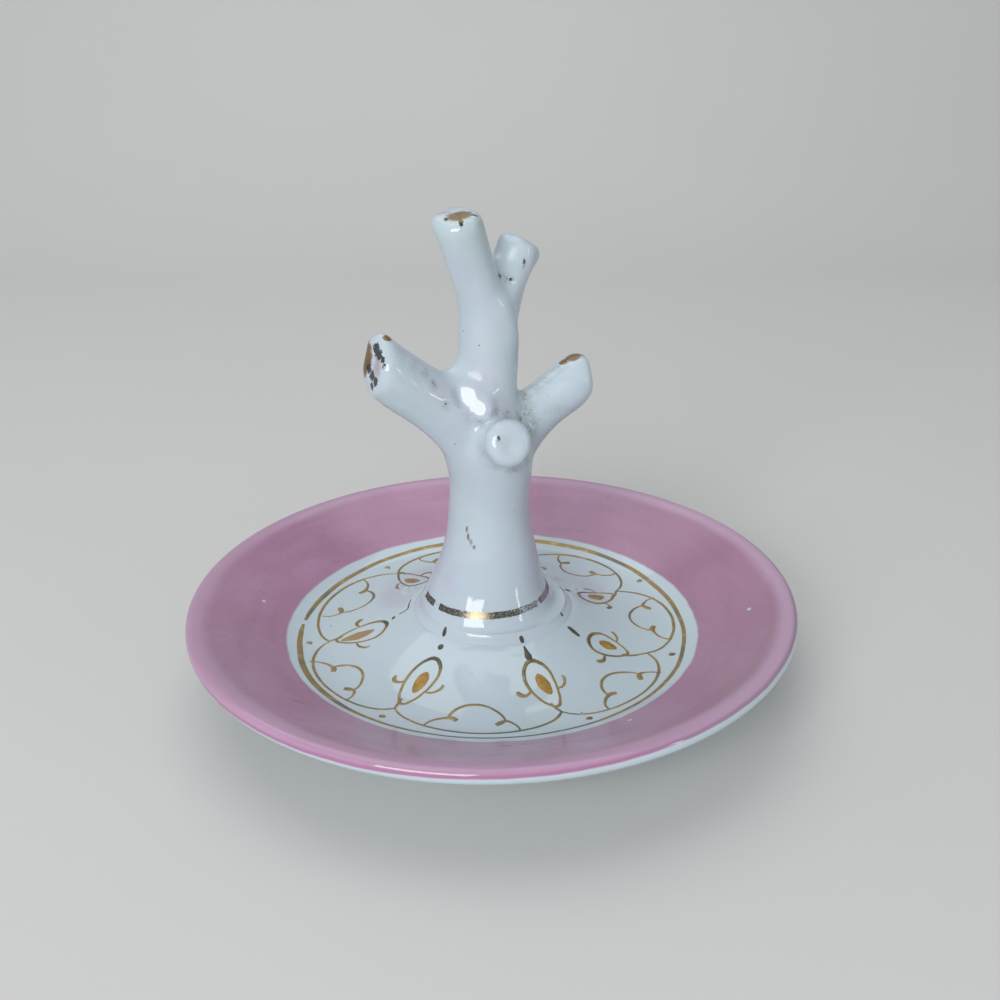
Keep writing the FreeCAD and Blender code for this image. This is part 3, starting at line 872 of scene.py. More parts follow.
    def material(self) -> bpy.types.Material:
        """The tree's material."""
        sketch = self.porcelain.start("tree_porcelain")
        dirt_and_shade = self.dirt_and_shade(sketch)
        cracked = self.cover(sketch, self.crack, self.crack_edge)
        crack = sketch.times(cracked, sketch.blotches(self.crack_grain))
        gilded = self.cover(sketch, self.gilded, self.gilded_edge)
        gilt = sketch.times(gilded, sketch.blotches(self.gilded_places))
        gold = sketch.blend(sketch.blotches(self.tarnished_places), self.old_gold, self.gilding.tarnish)
        black = self.black_crumbs(sketch)
        colour = sketch.layer(
            self.porcelain.body(sketch),
            (dirt_and_shade, 1.0, self.olive),
            (self.porcelain.specks(sketch, *self.specks), self.speck_share, self.porcelain.grime),
            (crack, self.crack_share, self.hairline),
            (self.cover(sketch, self.gilded, self.fringe_edge), self.fringe_share, self.brown),
            (gilt, 1.0, gold),
            (self.cover(sketch, self.rubbed, self.rubbed_edge), self.rubbed_share, self.faded),
            (black, self.crumb_share, self.black),
        )
        sketch.shade("Base Color", colour)
        sketch.shade("Metallic", sketch.times(gilt, self.gilding.metal))
        rough = sketch.any_of(gilt, black, dirt_and_shade, self.cover(sketch, self.dulled, self.dulled_edge))
        sketch.shade("Roughness", sketch.line(rough, self.matt, self.porcelain.roughness))
        sketch.ripple(*self.ripple)
        return sketch.material


@dataclass
class Saucer:
    """The turned saucer: seat, well, sloping rim, round lip, underside and foot ring."""

    lip: Polar = (43.79, 12.0)
    lip_radius: float = 1.2
    lip_easing: float = 2.4
    floor: Polar = (25.4, 5.9)
    rim_curve: float = 13.0
    seat: Polar = (12.3, 10.0)
    seat_easing: float = 1.3
    wall: float = 3.0
    foot_radius: float = 26.0
    foot_width: float = 2.4
    foot_draft: float = 0.159
    foot_round: float = 0.5
    foot_joint: float = 0.49
    foot_joint_angle: float = 0.05
    foot_joint_drop: float = 0.35
    foot_rings: Polar = (1.6, 2.6)
    foot_hollow: float = 0.75
    seat_hollow: float = 0.9
    seat_middle: float = 5.0
    steps: int = 192
    finish: SaucerFinish = SaucerFinish()

    def tangent(self, depth: float, lip_side: float) -> float:
        """Slope of a line that leaves the rim's curve and touches the lip.

        Args:
            depth: how far below the surface of the well the line leaves the curve
            lip_side: 1 where it touches the lip from above, -1 from below

        Returns:
            The slope's angle in radians.
        """
        run = self.lip[0] - self.floor[0]
        drop = self.floor[1] + self.rim_curve - self.lip[1]
        reach = self.rim_curve + depth + lip_side * self.lip_radius
        return math.atan2(run, drop) - math.acos(reach / math.hypot(run, drop))

    def cove(self) -> float:
        """Radius of the curve from the seat down to the floor of the well."""
        run = self.floor[0] - self.seat[0]
        drop = self.seat[1] - self.floor[1]
        return (run**2 + drop**2) / (2 * drop)

    def cove_height(self, radius: float, depth: float = 0.0) -> float:
        """Height of that curve, or of the underside at a depth below it."""
        drop = math.sqrt((self.cove() + depth) ** 2 - (self.floor[0] - radius) ** 2)
        return self.floor[1] + self.cove() - drop

    def on_rim_curve(self, angle: float, depth: float = 0.0) -> Polar:
        """The point of the rim's curve at an angle from its lowest point."""
        reach = self.rim_curve + depth
        centre = self.floor[1] + self.rim_curve
        return self.floor[0] + reach * math.sin(angle), centre - reach * math.cos(angle)

    def rim_line(self, sketch: NodeSketch, radius: Socket) -> Socket:
        """Height of the rim's sloping line, in a material's nodes."""
        slope = self.tangent(0.0, 1.0)
        start = self.on_rim_curve(slope)
        return sketch.line(radius, math.tan(slope), start[1] - start[0] * math.tan(slope))

    def inside(self) -> list[Polar]:
        """The profile's points from the middle of the seat out to the lip."""
        eased = self.seat[0] + self.seat_easing
        points = [(0.0, self.seat[1]), (self.seat_middle, self.seat[1])]
        level = (self.seat[0] - self.seat_easing, self.seat[1])
        points += self.eased(level, self.seat, (eased, self.cove_height(eased)), 7)
        for radius in np.linspace(eased, self.floor[0], 16)[1:-1]:
            points.append((radius, self.cove_height(radius)))
        slope = self.tangent(0.0, 1.0)
        points += [self.on_rim_curve(angle) for angle in np.linspace(0.0, slope, 9)]
        start = points[-1]
        run = self.lip[0] + self.lip_radius - start[0]
        corner = (start[0] + run, start[1] + run * math.tan(slope))
        ease = run - self.lip_easing - self.lip_radius
        end = (start[0] + ease, start[1] + ease * math.tan(slope))
        points += self.between(start, end, 8)
        points += self.eased(end, corner, (corner[0], self.lip[1]), 13)
        return points

    @staticmethod
    def between(start: Polar, end: Polar, count: int) -> list[Polar]:
        """Points along a straight line, without its ends."""
        line = np.linspace(start, end, count + 2)[1:-1]
        return [tuple(point) for point in line]

    @staticmethod
    def eased(start: Polar, corner: Polar, end: Polar, count: int) -> list[Polar]:
        """Points along a curve that cuts a corner, with its ends."""
        points = []
        for share in np.linspace(0.0, 1.0, count):
            first = np.array(start) * (1 - share) + np.array(corner) * share
            last = np.array(corner) * (1 - share) + np.array(end) * share
            points.append(tuple(first * (1 - share) + last * share))
        return points

    @staticmethod
    def arc(centre: Polar, radius: float, start: float, end: float, count: int) -> list[Polar]:
        """Points along an arc between two angles in radians, with its ends."""
        turns = [(math.cos(angle), math.sin(angle)) for angle in np.linspace(start, end, count)]
        return [(centre[0] + along * radius, centre[1] + up * radius) for along, up in turns]

    def outside(self) -> list[Polar]:
        """The profile's points round the lip, along the underside and the foot ring to the middle."""
        level, down, back = 0.0, -math.pi / 2, -math.pi
        under = self.tangent(self.wall, -1.0)
        points = self.arc(self.lip, self.lip_radius, level, under + down, 8)[1:]
        foot_outer = self.foot_radius + self.foot_width / 2
        foot_inner = self.foot_radius - self.foot_width / 2
        joint = math.asin((foot_outer + self.foot_joint - self.floor[0]) / (self.rim_curve + self.wall))
        points += self.between(points[-1], self.on_rim_curve(under, self.wall), 5)
        angles = np.linspace(under, joint + self.foot_joint_angle, 7)
        points += [self.on_rim_curve(angle, self.wall) for angle in angles]
        rise = points[-1][1] - self.foot_joint_drop
        points += [(foot_outer + self.foot_draft * height, height) for height in (rise, self.foot_rings[0])]
        points += self.arc((foot_outer - self.foot_round, self.foot_round), self.foot_round, level, down, 5)
        points += self.arc((foot_inner + self.foot_round, self.foot_round), self.foot_round, down, back, 5)
        points += [(foot_inner - self.foot_draft * height, height) for height in self.foot_rings]
        for radius in np.linspace(foot_inner - self.foot_hollow, self.seat[0] - self.seat_hollow, 12):
            points.append((radius, self.cove_height(radius, self.wall)))
        middle = self.seat[1] - self.wall
        return [*points, (self.seat_middle, middle), (0.0, middle)]

    def build(self) -> Piece:
        """The glazed saucer, in the place of its solid."""
        piece = Bench.turn("dish_glazed", self.inside() + self.outside(), (0.0, 0.0), self.steps)
        Bench.dress(piece, self.finish.material(self), Slot.SAUCER)
        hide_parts("dish")
        return piece


@dataclass(frozen=True)
class Pull:
    """A place on the clay that fingers have drawn out or pressed in.

    Attributes:
        place: the middle of the pull
        move: how far the clay goes there
        reach: how far round it the clay follows
    """

    place: Place
    move: Place
    reach: float

    def work(self, piece: Piece) -> None:
        """Moves the nearest point of a piece, and the points round it less and less."""
        places = np.empty(len(piece.data.vertices) * 3)
        piece.data.vertices.foreach_get("co", places)
        away = np.linalg.norm(places.reshape(-1, 3) - np.array(self.place) * MM, axis=1)
        nearest = int(away.argmin())
        Bench.pick(piece, "VERT", lambda vertex: vertex.index == nearest)
        bpy.ops.transform.translate(
            value=Vector(self.move) * MM,
            use_proportional_edit=True,
            proportional_edit_falloff="SMOOTH",
            proportional_size=self.reach * MM,
        )
        bpy.ops.object.mode_set(mode="OBJECT")


@dataclass(frozen=True)
class Paddle:
    """A flat that a paddle has left on the clay.

    Attributes:
        place: the middle of the flat
        facing: the way that it faces
        reach: how far it and its soft edge reach
    """

    place: Place
    facing: Place
    reach: float

    def work(self, piece: Piece) -> None:
        """Presses the points of a piece to the flat, less and less towards its edge."""
        places = np.empty(len(piece.data.vertices) * 3)
        piece.data.vertices.foreach_get("co", places)
        middle = np.array(self.place) * MM
        facing = np.array(Vector(self.facing).normalized())
        away = places.reshape(-1, 3) - middle
        share = np.clip(2.0 - 2.0 * np.linalg.norm(away, axis=1) / (self.reach * MM), 0.0, 1.0)
        share = share * share * (3.0 - 2.0 * share)
        pressed = middle + away - np.outer(share * (away @ facing), facing)
        piece.data.vertices.foreach_set("co", pressed.ravel())
        piece.data.update()


@dataclass(frozen=True)
class TrunkFoot:
    """The trunk's turned foot: a flare down to a groove, cut back to a ledge about the saucer's axis.

    Attributes:
        axis: the flare's axis, in x and y
        flare: radius about that axis and height of the flare, from the top outwards
        ledge_axis: the ledge's axis
        ledge: radius about its own axis and height of the ledge's wall, from the top outwards
        blend: how softly the two meet
        seam: how far from the cut the clay is rubbed smooth
        rim: radius of the blank that the foot is turned from
        tenon: how far the tenon inside the trunk is set in, and how far it rises
    """

    axis: Polar = (-0.81, 0.0)
    flare: tuple[Polar, ...] = (
        (9.16, 13.1),
        (9.48, 12.5),
        (9.82, 11.85),
        (9.98, 11.58),
        (10.16, 11.36),
        (10.38, 11.18),
        (10.65, 11.06),
        (10.95, 11.0),
        (11.8, 10.95),
        (13.2, 10.92),
    )
    ledge_axis: Polar = (0.1, 0.0)
    ledge: tuple[Polar, ...] = (
        (10.4, 13.5),
        (10.85, 11.4),
        (10.95, 11.1),
        (11.02, 10.88),
        (11.12, 10.68),
        (11.3, 10.48),
        (11.72, 10.13),
        (12.2, 9.7),
        (13.2, 8.8),
    )
    blend: float = 0.08
    seam: float = 0.2
    seam_rubs: int = 6
    rim: float = 12.9
    bottom: float = 8.0
    tenon: Polar = (0.6, 0.2)
    ring_step: float = 0.07
    level: float = 0.01
    steps: int = 192

    def build(self) -> Piece:
        """The foot, turned with fine rings and then pressed to its two shapes."""
        radius, top = self.flare[0]
        inset, rise = self.tenon
        profile = [(0.0, top + rise), (radius - inset, top + rise)]
        profile += [(ring, top) for ring in np.arange(radius, self.rim, self.ring_step)]
        profile += [(self.rim, self.bottom), (0.0, self.bottom)]
        foot = Bench.turn("trunk_foot", profile, self.axis, self.steps)
        for vertex in foot.data.vertices:
            place = vertex.co / MM
            if abs(place.z - top) < self.level:
                vertex.co.z = self.height(place) * MM
        return foot

    def height(self, place: Vector) -> float:
        """The foot's height over a place: the lower one of its flare and its ledge, softly blended."""
        heights = []
        for axis, profile in ((self.axis, self.flare), (self.ledge_axis, self.ledge)):
            radius = math.hypot(place.x - axis[0], place.y - axis[1])
            heights.append(np.interp(radius, *zip(*profile)))
        low, gap = min(heights), abs(heights[0] - heights[1])
        return low - self.blend * math.log1p(math.exp(-gap / self.blend))

    def join(self, tree: Piece) -> None:
        """Cuts a tree off at the top of the foot, sets it on the foot and rubs the seam smooth."""
        foot = self.build()
        Bench.take(tree)
        bpy.ops.object.mode_set(mode="EDIT")
        bpy.ops.mesh.select_all(action="SELECT")
        cut = (0.0, 0.0, self.flare[0][1] * MM)
        bpy.ops.mesh.bisect(plane_co=cut, plane_no=(0.0, 0.0, 1.0), use_fill=True, clear_inner=True)
        bpy.ops.object.mode_set(mode="OBJECT")
        Bench.modify(tree, "BOOLEAN", operation="UNION", object=foot, solver="EXACT")
        bpy.data.objects.remove(foot)
        Bench.pick(tree, "VERT", lambda vertex: abs(vertex.co.z - cut[2]) < self.seam * MM)
        bpy.ops.mesh.remove_doubles(threshold=self.seam / 3 * MM)
        bpy.ops.mesh.vertices_smooth(factor=0.5, repeat=self.seam_rubs)
        bpy.ops.object.mode_set(mode="OBJECT")


@dataclass
class RingTree:
    """The luted tree: trunk and limbs under one coat of glaze that softens every crook.

    Attributes:
        stem: the solids that flow into one another
        limbs: the solids luted on with tighter crooks, each with the thickness of its slip
    """

    stem: tuple[str, ...] = ("trunk", "top_leader", "left_branch")
    limbs: tuple[tuple[str, float], ...] = (("top_fork", 0.25), ("right_branch", 0.15), ("front_stub", 0.2))
    foot: TrunkFoot = TrunkFoot()
    voxel: float = 0.32
    crook: float = 1.6
    limb_crook: float = 0.9
    pulls: tuple[Pull, ...] = (
        Pull((-13.6, -6.6, 53.1), (-0.45, 0.0, 0.95), 3.2),
        Pull((-15.7, -6.0, 52.0), (-0.5, 0.0, 0.5), 2.6),
        Pull((-16.9, -6.0, 49.6), (-0.3, 0.0, 0.0), 2.8),
        Pull((-6.1, -4.6, 68.3), (-0.55, 0.2, 0.35), 2.6),
        Pull((-4.4, -2.7, 68.9), (-0.15, 0.75, 0.3), 2.6),
        Pull((-2.4, -2.6, 68.9), (0.0, 0.55, 0.1), 2.4),
        Pull((2.6, 3.2, 64.9), (-0.25, 0.0, 0.25), 2.0),
        Pull((2.9, -9.9, 39.4), (0.0, 0.0, -0.7), 8.0),
        Pull((2.95, -9.75, 39.3), (-0.1, 0.22, -0.1), 1.9),
        Pull((-2.4, -4.6, 44.6), (-0.1, -0.75, 0.0), 4.6),
        Pull((0.0, -5.0, 43.4), (0.0, -0.8, 0.0), 3.4),
        Pull((13.2, 4.6, 46.6), (0.3, 0.0, 0.3), 3.0),
        Pull((2.9, -1.7, 56.6), (0.35, -0.55, 0.0), 3.8),
        Pull((3.9, -1.0, 52.8), (0.25, -0.4, 0.0), 3.6),
    )
    flats: tuple[Paddle, ...] = (
        Paddle((-2.75, -5.36, 45.0), (-0.13, -0.93, 0.34), 2.5),
        Paddle((-0.8, -6.15, 43.2), (-0.075, -0.94, 0.33), 2.5),
    )
    merge: float = 0.001
    push: float = 0.4
    rubs: int = 5
    last_rubs: int = 6
    lumps: float = 0.14
    lump_size: float = 7.0
    finish: TreeFinish = TreeFinish()

    def clay(self, name: str, nodes: Iterable[str]) -> Piece:
        """Joins copies of some of the tree's solids.

        Args:
            name: the new piece's name
            nodes: the solids' names

        Returns:
            The joined piece.
        """
        lump = Bench.add(name, bpy.data.meshes.new(name))
        copies = [Bench.add(f"{node}_clay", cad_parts[node].data.copy()) for node in nodes]
        Bench.take(lump)
        for copy in copies:
            copy.select_set(True)
        bpy.ops.object.join()
        bpy.ops.object.mode_set(mode="EDIT")
        bpy.ops.mesh.select_all(action="SELECT")
        bpy.ops.mesh.remove_doubles(threshold=self.merge * MM)
        bpy.ops.object.mode_set(mode="OBJECT")
        return lump

    def soften(self, tree: Piece, radius: float) -> None:
        """Fills every crook to a radius, as slip and glaze do: grown a little at a time, and shrunk back.

        Args:
            tree: the piece to soften
            radius: the radius left in its crooks
        """
        voxel = self.voxel * MM
        steps = math.ceil(radius / self.push)
        push = radius / steps * MM
        Bench.modify(tree, "REMESH", mode="VOXEL", voxel_size=voxel)
        for strength in (push,) * steps + (-push,) * steps:
            Bench.modify(tree, "DISPLACE", strength=strength, mid_level=0.0)
            Bench.modify(tree, "REMESH", mode="VOXEL", voxel_size=voxel)

    def build(self) -> Piece:
        """The glazed tree, in the place of its solids."""
        tree = self.clay("tree_glazed", self.stem)
        self.soften(tree, self.crook)
        for name, slip in self.limbs:
            limb = self.clay(f"{name}_slip", (name,))
            Bench.modify(limb, "REMESH", mode="VOXEL", voxel_size=self.voxel * MM)
            Bench.modify(limb, "DISPLACE", strength=slip * MM, mid_level=0.0)
            Bench.take(tree)
            limb.select_set(True)
            bpy.ops.object.join()
        self.soften(tree, self.limb_crook)
        Bench.modify(tree, "SMOOTH", factor=0.5, iterations=self.rubs)
        for tool in (*self.pulls, *self.flats):
            tool.work(tree)
        Bench.modify(tree, "SMOOTH", factor=0.5, iterations=self.last_rubs)
        lumps = bpy.data.textures.new("hand_lumps", "CLOUDS")
        lumps.noise_scale = self.lump_size * MM
        Bench.modify(tree, "DISPLACE", texture=lumps, strength=self.lumps * MM, mid_level=0.5)
        self.foot.join(tree)
        Bench.take(tree)
        bpy.ops.object.shade_smooth()
        Bench.dress(tree, self.finish.material(), Slot.TREE)
        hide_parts(*self.stem, *(name for name, _ in self.limbs))
        return tree


@dataclass
class TrunkLine:
    """The worn gold line round the trunk's foot.

    Attributes:
        height: height of its lower edge
        width: its width along the trunk
        radius: radius of its lower edge, before it is laid on the glaze
        rise: how far it rises, as a share of its width
        inset: how far it draws in, as a share of its width
        worn: the angles between which it is worn away
    """

    height: float = 12.75
    width: float = 0.95
    radius: float = 9.55
    rise: float = 0.85
    inset: float = 0.53
    rows: int = 3
    points: int = 180
    worn: tuple[Polar, ...] = ((160.0, 193.0), (214.5, 221.5), (324.3, 327.3))
    shake: float = 0.045
    seed: int = 5
    lift: float = 0.02
    thickness: float = 0.05
    crease: float = 40.0
    # tarnish, made darker as painted reflection of dark surroundings
    darkness: float = 0.8
    gilding: TrunkGilding = TrunkGilding()

    def build(self, tree: Piece, axis: Polar) -> Piece:
        """Paints the line.

        Args:
            tree: the glazed tree that it is painted on
            axis: the axis of the trunk's foot, in x and y

        Returns:
            The line's piece.
        """
        Bench.clear()
        place = (axis[0] * MM, axis[1] * MM, self.height * MM)
        bpy.ops.mesh.primitive_circle_add(vertices=self.points, radius=self.radius * MM, location=place)
        line = bpy.context.object
        line.name = "gilt_trunk_line"
        bpy.ops.object.transform_apply(location=True)
        bpy.ops.object.mode_set(mode="EDIT")
        rise = Vector((0.0, 0.0, self.width * MM * self.rise / self.rows))
        shrink = 1.0 - self.width * self.inset / self.rows / self.radius
        for _ in range(self.rows):
            bpy.ops.mesh.extrude_region_move(TRANSFORM_OT_translate={"value": rise})
            bpy.ops.transform.resize(value=(shrink, shrink, 1.0), center_override=place)
        bpy.ops.mesh.select_all(action="SELECT")
        bpy.ops.transform.vertex_random(offset=self.shake * MM, uniform=1.0, normal=0.0, seed=self.seed)
        bpy.ops.mesh.normals_make_consistent(inside=False)

        def worn(face: bpy.types.MeshPolygon) -> bool:
            """Whether a face lies where the line is worn away."""
            angle = math.degrees(math.atan2(face.center.y, face.center.x - place[0])) % 360.0
            return any(low < angle < high for low, high in self.worn)

        Bench.pick(line, "FACE", worn)
        bpy.ops.mesh.delete(type="FACE")
        bpy.ops.object.mode_set(mode="OBJECT")
        Bench.modify(line, "SHRINKWRAP", target=tree, wrap_mode="ABOVE_SURFACE", offset=self.lift * MM)
        Bench.modify(line, "SOLIDIFY", thickness=self.thickness * MM, offset=0.0)
        Bench.take(line)
        bpy.ops.object.shade_smooth_by_angle(angle=math.radians(self.crease))
        Bench.dress(line, self.gilding.material("trunk_line_gilding", self.darkness), Slot.TREE)
        return line


@dataclass(frozen=True)
class Touch:
    """One touch of the gilder's brush.

    Attributes:
        path: angle and radius of the places that the brush passes
        widths: width of its mark at those places
        closed: whether it comes back to where it began
    """

    path: tuple[Polar, ...]
    widths: tuple[float, ...]
    closed: bool = False


@dataclass
class Brush:
    """The gilder's brush, whose touches lie on the glaze as thin raised gilding."""

    SECTION = ((0.5, 0.0), (0.3, 0.8), (0.0, 1.0), (-0.3, 0.8), (-0.5, 0.0), (-0.3, -0.6), (0.3, -0.6))

    crown: float = 0.11
    shake: float = 0.035
    swell: Polar = (0.9, 1.1)
    seed: int = 11
    reach: float = 13.3
    smoothness: int = 7
    crease: float = 50.0

    def section(self) -> Piece:
        """The section of a touch that is a millimetre wide: a low crown, closed below the glaze."""
        curve = bpy.data.curves.new("brush_section", "CURVE")
        curve.dimensions = "2D"
        spline = curve.splines.new("POLY")
        spline.points.add(len(self.SECTION) - 1)
        spline.use_cyclic_u = True
        for point, (side, rise) in zip(spline.points, self.SECTION):
            point.co = (side * MM, rise * self.crown * MM, 0.0, 1.0)
        return Bench.add("brush_section", curve)

    def paint(self, name: str, touches: Iterable[Touch], grounds: Sequence[Piece]) -> Piece:
        """Paints touches onto the glaze.

        Args:
            name: the new piece's name
            touches: the touches, in the saucer's own angles and radii
            grounds: the glazed pieces that they lie on

        Returns:
            The painted piece.
        """
        hand = random.Random(f"{name} {self.seed}")
        section = self.section()
        curve = bpy.data.curves.new(name, "CURVE")
        curve.dimensions = "3D"
        curve.twist_mode = "Z_UP"
        curve.bevel_mode = "OBJECT"
        curve.bevel_object = section
        curve.use_fill_caps = True
        curve.resolution_u = self.smoothness
        for touch in touches:
            spline = curve.splines.new("BEZIER")
            spline.bezier_points.add(len(touch.path) - 1)
            spline.use_cyclic_u = touch.closed
            for point, (angle, radius), width in zip(spline.bezier_points, touch.path, touch.widths):
                turn = math.radians(angle)
                out = radius + hand.uniform(-self.shake, self.shake)
                point.co = (out * math.cos(turn) * MM, out * math.sin(turn) * MM, 0.0)
                point.radius = width * hand.uniform(*self.swell)
                point.handle_left_type = "AUTO"
                point.handle_right_type = "AUTO"
        Bench.take(Bench.add(name, curve))
        bpy.ops.object.convert(target="MESH")
        bpy.data.objects.remove(section)
        painted = bpy.context.object
        bpy.ops.object.mode_set(mode="EDIT")
        bpy.ops.mesh.select_all(action="SELECT")
        bpy.ops.mesh.normals_make_consistent(inside=False)
        bpy.ops.object.mode_set(mode="OBJECT")
        bpy.ops.object.shade_smooth_by_angle(angle=math.radians(self.crease))
        self.lay(painted, grounds)
        return painted

    def lay(self, painted: Piece, grounds: Sequence[Piece]) -> None:
        """Lowers a flat painted piece onto the glaze under it.

        Args:
            painted: the piece, drawn flat at the table's height
            grounds: the glazed pieces below
        """
        down = Vector((0.0, 0.0, -1.0))
        for vertex in painted.data.vertices:
            start = Vector((vertex.co.x, vertex.co.y, self.reach * MM))
            heights = []
            for ground in grounds:
                found, place, _, _ = ground.ray_cast(start, down)
                if found:
                    heights.append(place.z)
            vertex.co.z += max(heights)


@dataclass(frozen=True)
class Medallion:
    """A teardrop ring with an ochre seed, hanging from the border towards the trunk."""

    axis: float
    junction: Polar
    dot: Polar
    foot: float = 15.1
    top: float = 23.9
    spread: float = 1.0
    lean: float = 0.0
    seed_top: float = 21.3
    stalk: Stalk = Stalk.DOT_AND_DASH

    RING = Touch(
        (
            (-0.5, 15.1),
            (-4.4, 15.8),
            (-6.6, 17.4),
            (-6.2, 19.4),
            (-4.4, 21.3),
            (-1.7, 23.1),
            (0.8, 23.9),
            (2.9, 22.8),
            (4.7, 20.9),
            (6.0, 18.8),
            (6.2, 17.0),
            (4.0, 15.7),
        ),
        (0.58, 0.56, 0.52, 0.46, 0.42, 0.44, 0.50, 0.40, 0.36, 0.40, 0.46, 0.54),
        True,
    )
    LEFT_CURL = Touch(
        ((-5.9, 20.0), (-7.8, 20.55), (-9.6, 20.65), (-11.0, 20.2), (-11.4, 19.75)),
        (0.30, 0.48, 0.66, 0.72, 0.40),
    )
    RIGHT_CURL = Touch(
        ((4.9, 20.6), (7.5, 20.45), (9.5, 19.9), (10.7, 19.1), (10.6, 18.7)),
        (0.26, 0.38, 0.46, 0.48, 0.30),
    )

    PATTERN_FOOT, PATTERN_TOP, PATTERN_MIDDLE = 15.1, 23.9, 19.0
    LINK_WIDTHS = (0.40, 0.44, 0.36)
    SEED = ((0.0, 0.25), (0.08, 0.95), (0.25, 1.6), (0.5, 1.95), (0.75, 1.55), (0.92, 0.9), (1.0, 0.25))
    SEED_FOOT, SEED_TURN, SEED_LEAN = 17.3, 0.1, 1.1
    POINT = ((0.0, 0.6), (-0.5, 1.0), (-0.6, 0.65), (-0.7, 0.25))
    POINT_RADII = (14.2, 13.5, 12.7)
    WAVE = ((-4.8, 14.2), (-4.4, 13.4), (-5.5, 12.9), (-9.0, 12.75), (-14.0, 12.8), (-19.0, 12.75))
    WAVE_WIDTHS = (0.2, 0.3, 0.22, 0.26, 0.2, 0.12)

    def place(self, angle: float, radius: float) -> Polar:
        """Carries a place on the pattern's medallion over to this one."""
        share = (radius - self.PATTERN_FOOT) / (self.PATTERN_TOP - self.PATTERN_FOOT)
        out = self.foot + share * (self.top - self.foot)
        return self.axis + angle * self.spread + self.lean * (out - self.PATTERN_MIDDLE), out

    def carry(self, touch: Touch) -> Touch:
        """Carries a touch of the pattern over to this medallion."""
        return Touch(tuple(self.place(*point) for point in touch.path), touch.widths, touch.closed)

    def lines(self) -> list[Touch]:
        """The ring, its two curls and the link up to the border."""
        link = Touch((self.place(-0.9, 23.0), self.place(-0.2, 24.2), self.junction), self.LINK_WIDTHS)
        return [self.carry(touch) for touch in (self.RING, self.LEFT_CURL, self.RIGHT_CURL)] + [link]

    def seed(self) -> Touch:
        """The ochre seed inside the ring."""
        path = []
        for share, _ in self.SEED:
            radius = self.SEED_FOOT + (self.seed_top - self.SEED_FOOT) * share
            path.append(self.place(self.SEED_TURN + self.SEED_LEAN * share, radius))
        return Touch(tuple(path), tuple(width for _, width in self.SEED))

    def beside(self, angle: float, radius: float) -> Polar:
        """A place at an angle from the medallion's axis."""
        return self.axis + angle, radius

    def marks(self) -> list[Touch]:
        """The dot under the border's line, and the marks between the ring and the trunk."""
        touches = [spot(self.dot, 0.95)]
        if self.stalk is Stalk.DOT_AND_DASH:
            touches.append(spot(self.beside(-1.3, self.foot - 1.7), 0.85))
            touches.append(dash(self.beside(-6.4, 10.9), self.beside(-4.2, 11.8), 0.62))
        elif self.stalk is Stalk.POINTED:
            radii = (self.foot, *self.POINT_RADII)
            path = tuple(self.beside(angle, radius) for (angle, _), radius in zip(self.POINT, radii))
            touches.append(Touch(path, tuple(width for _, width in self.POINT)))
            touches.append(dash(self.beside(-0.4, 12.1), self.beside(-0.3, 11.3), 0.7))
        elif self.stalk is Stalk.RADIAL_DASH:
            touches.append(dash(self.beside(-5.5, 12.8), self.beside(-5.5, 14.8), 0.8))
            touches.append(spot(self.beside(0.5, 11.3), 0.5))
        else:
            touches.append(dash(self.beside(-5.0, 15.0), self.beside(-2.2, 15.1), 0.55))
            touches.append(Touch(tuple(self.beside(*point) for point in self.WAVE), self.WAVE_WIDTHS))
        return touches


@dataclass(frozen=True)
class Cartouche:
    """A scalloped bracket with two knobbed curls, hanging under an arch of the border."""

    axis: float
    spread: float = 1.0
    lift: float = 0.0

    PATTERN = (
        Touch(
            ((-13.6, 27.4), (-13.2, 26.4), (-11.9, 25.5), (-9.4, 24.8), (-6.8, 24.55), (-4.9, 24.9)),
            (0.30, 0.36, 0.42, 0.50, 0.85, 0.75),
        ),
        Touch(
            (
                (-8.0, 24.5),
                (-7.4, 23.3),
                (-5.2, 22.15),
                (-1.5, 21.5),
                (3.0, 21.6),
                (6.6, 22.4),
                (9.2, 23.6),
                (10.2, 24.7),
            ),
            (0.40, 0.46, 0.46, 0.42, 0.40, 0.40, 0.36, 0.34),
        ),
        Touch(
            ((13.8, 27.4), (13.5, 26.3), (12.3, 25.4), (10.4, 24.8), (8.4, 25.15), (7.2, 25.6)),
            (0.28, 0.32, 0.38, 0.55, 0.95, 0.70),
        ),
    )

    def lines(self) -> list[Touch]:
        """The bracket's three touches."""
        touches = []
        for touch in self.PATTERN:
            path = tuple(
                (self.axis + angle * self.spread, radius + self.lift) for angle, radius in touch.path
            )
            touches.append(Touch(path, touch.widths))
        return touches


SPOT = ((-0.5, 0.15), (-0.4, 0.6), (-0.2, 0.92), (0.0, 1.0), (0.2, 0.92), (0.4, 0.6), (0.5, 0.15))
DASH = ((0.0, 0.35), (0.12, 0.8), (0.5, 1.0), (0.88, 0.8), (1.0, 0.35))


def spot(place: Polar, width: float) -> Touch:
    """A round dot."""
    angle, radius = place
    path = tuple((angle, radius + along * width) for along, _ in SPOT)
    return Touch(path, tuple(width * share for _, share in SPOT))


def dash(start: Polar, end: Polar, width: float) -> Touch:
    """A short straight touch with rounded ends."""
    turn, rise = end[0] - start[0], end[1] - start[1]
    path = tuple((start[0] + turn * along, start[1] + rise * along) for along, _ in DASH)
    return Touch(path, tuple(width * share for _, share in DASH))


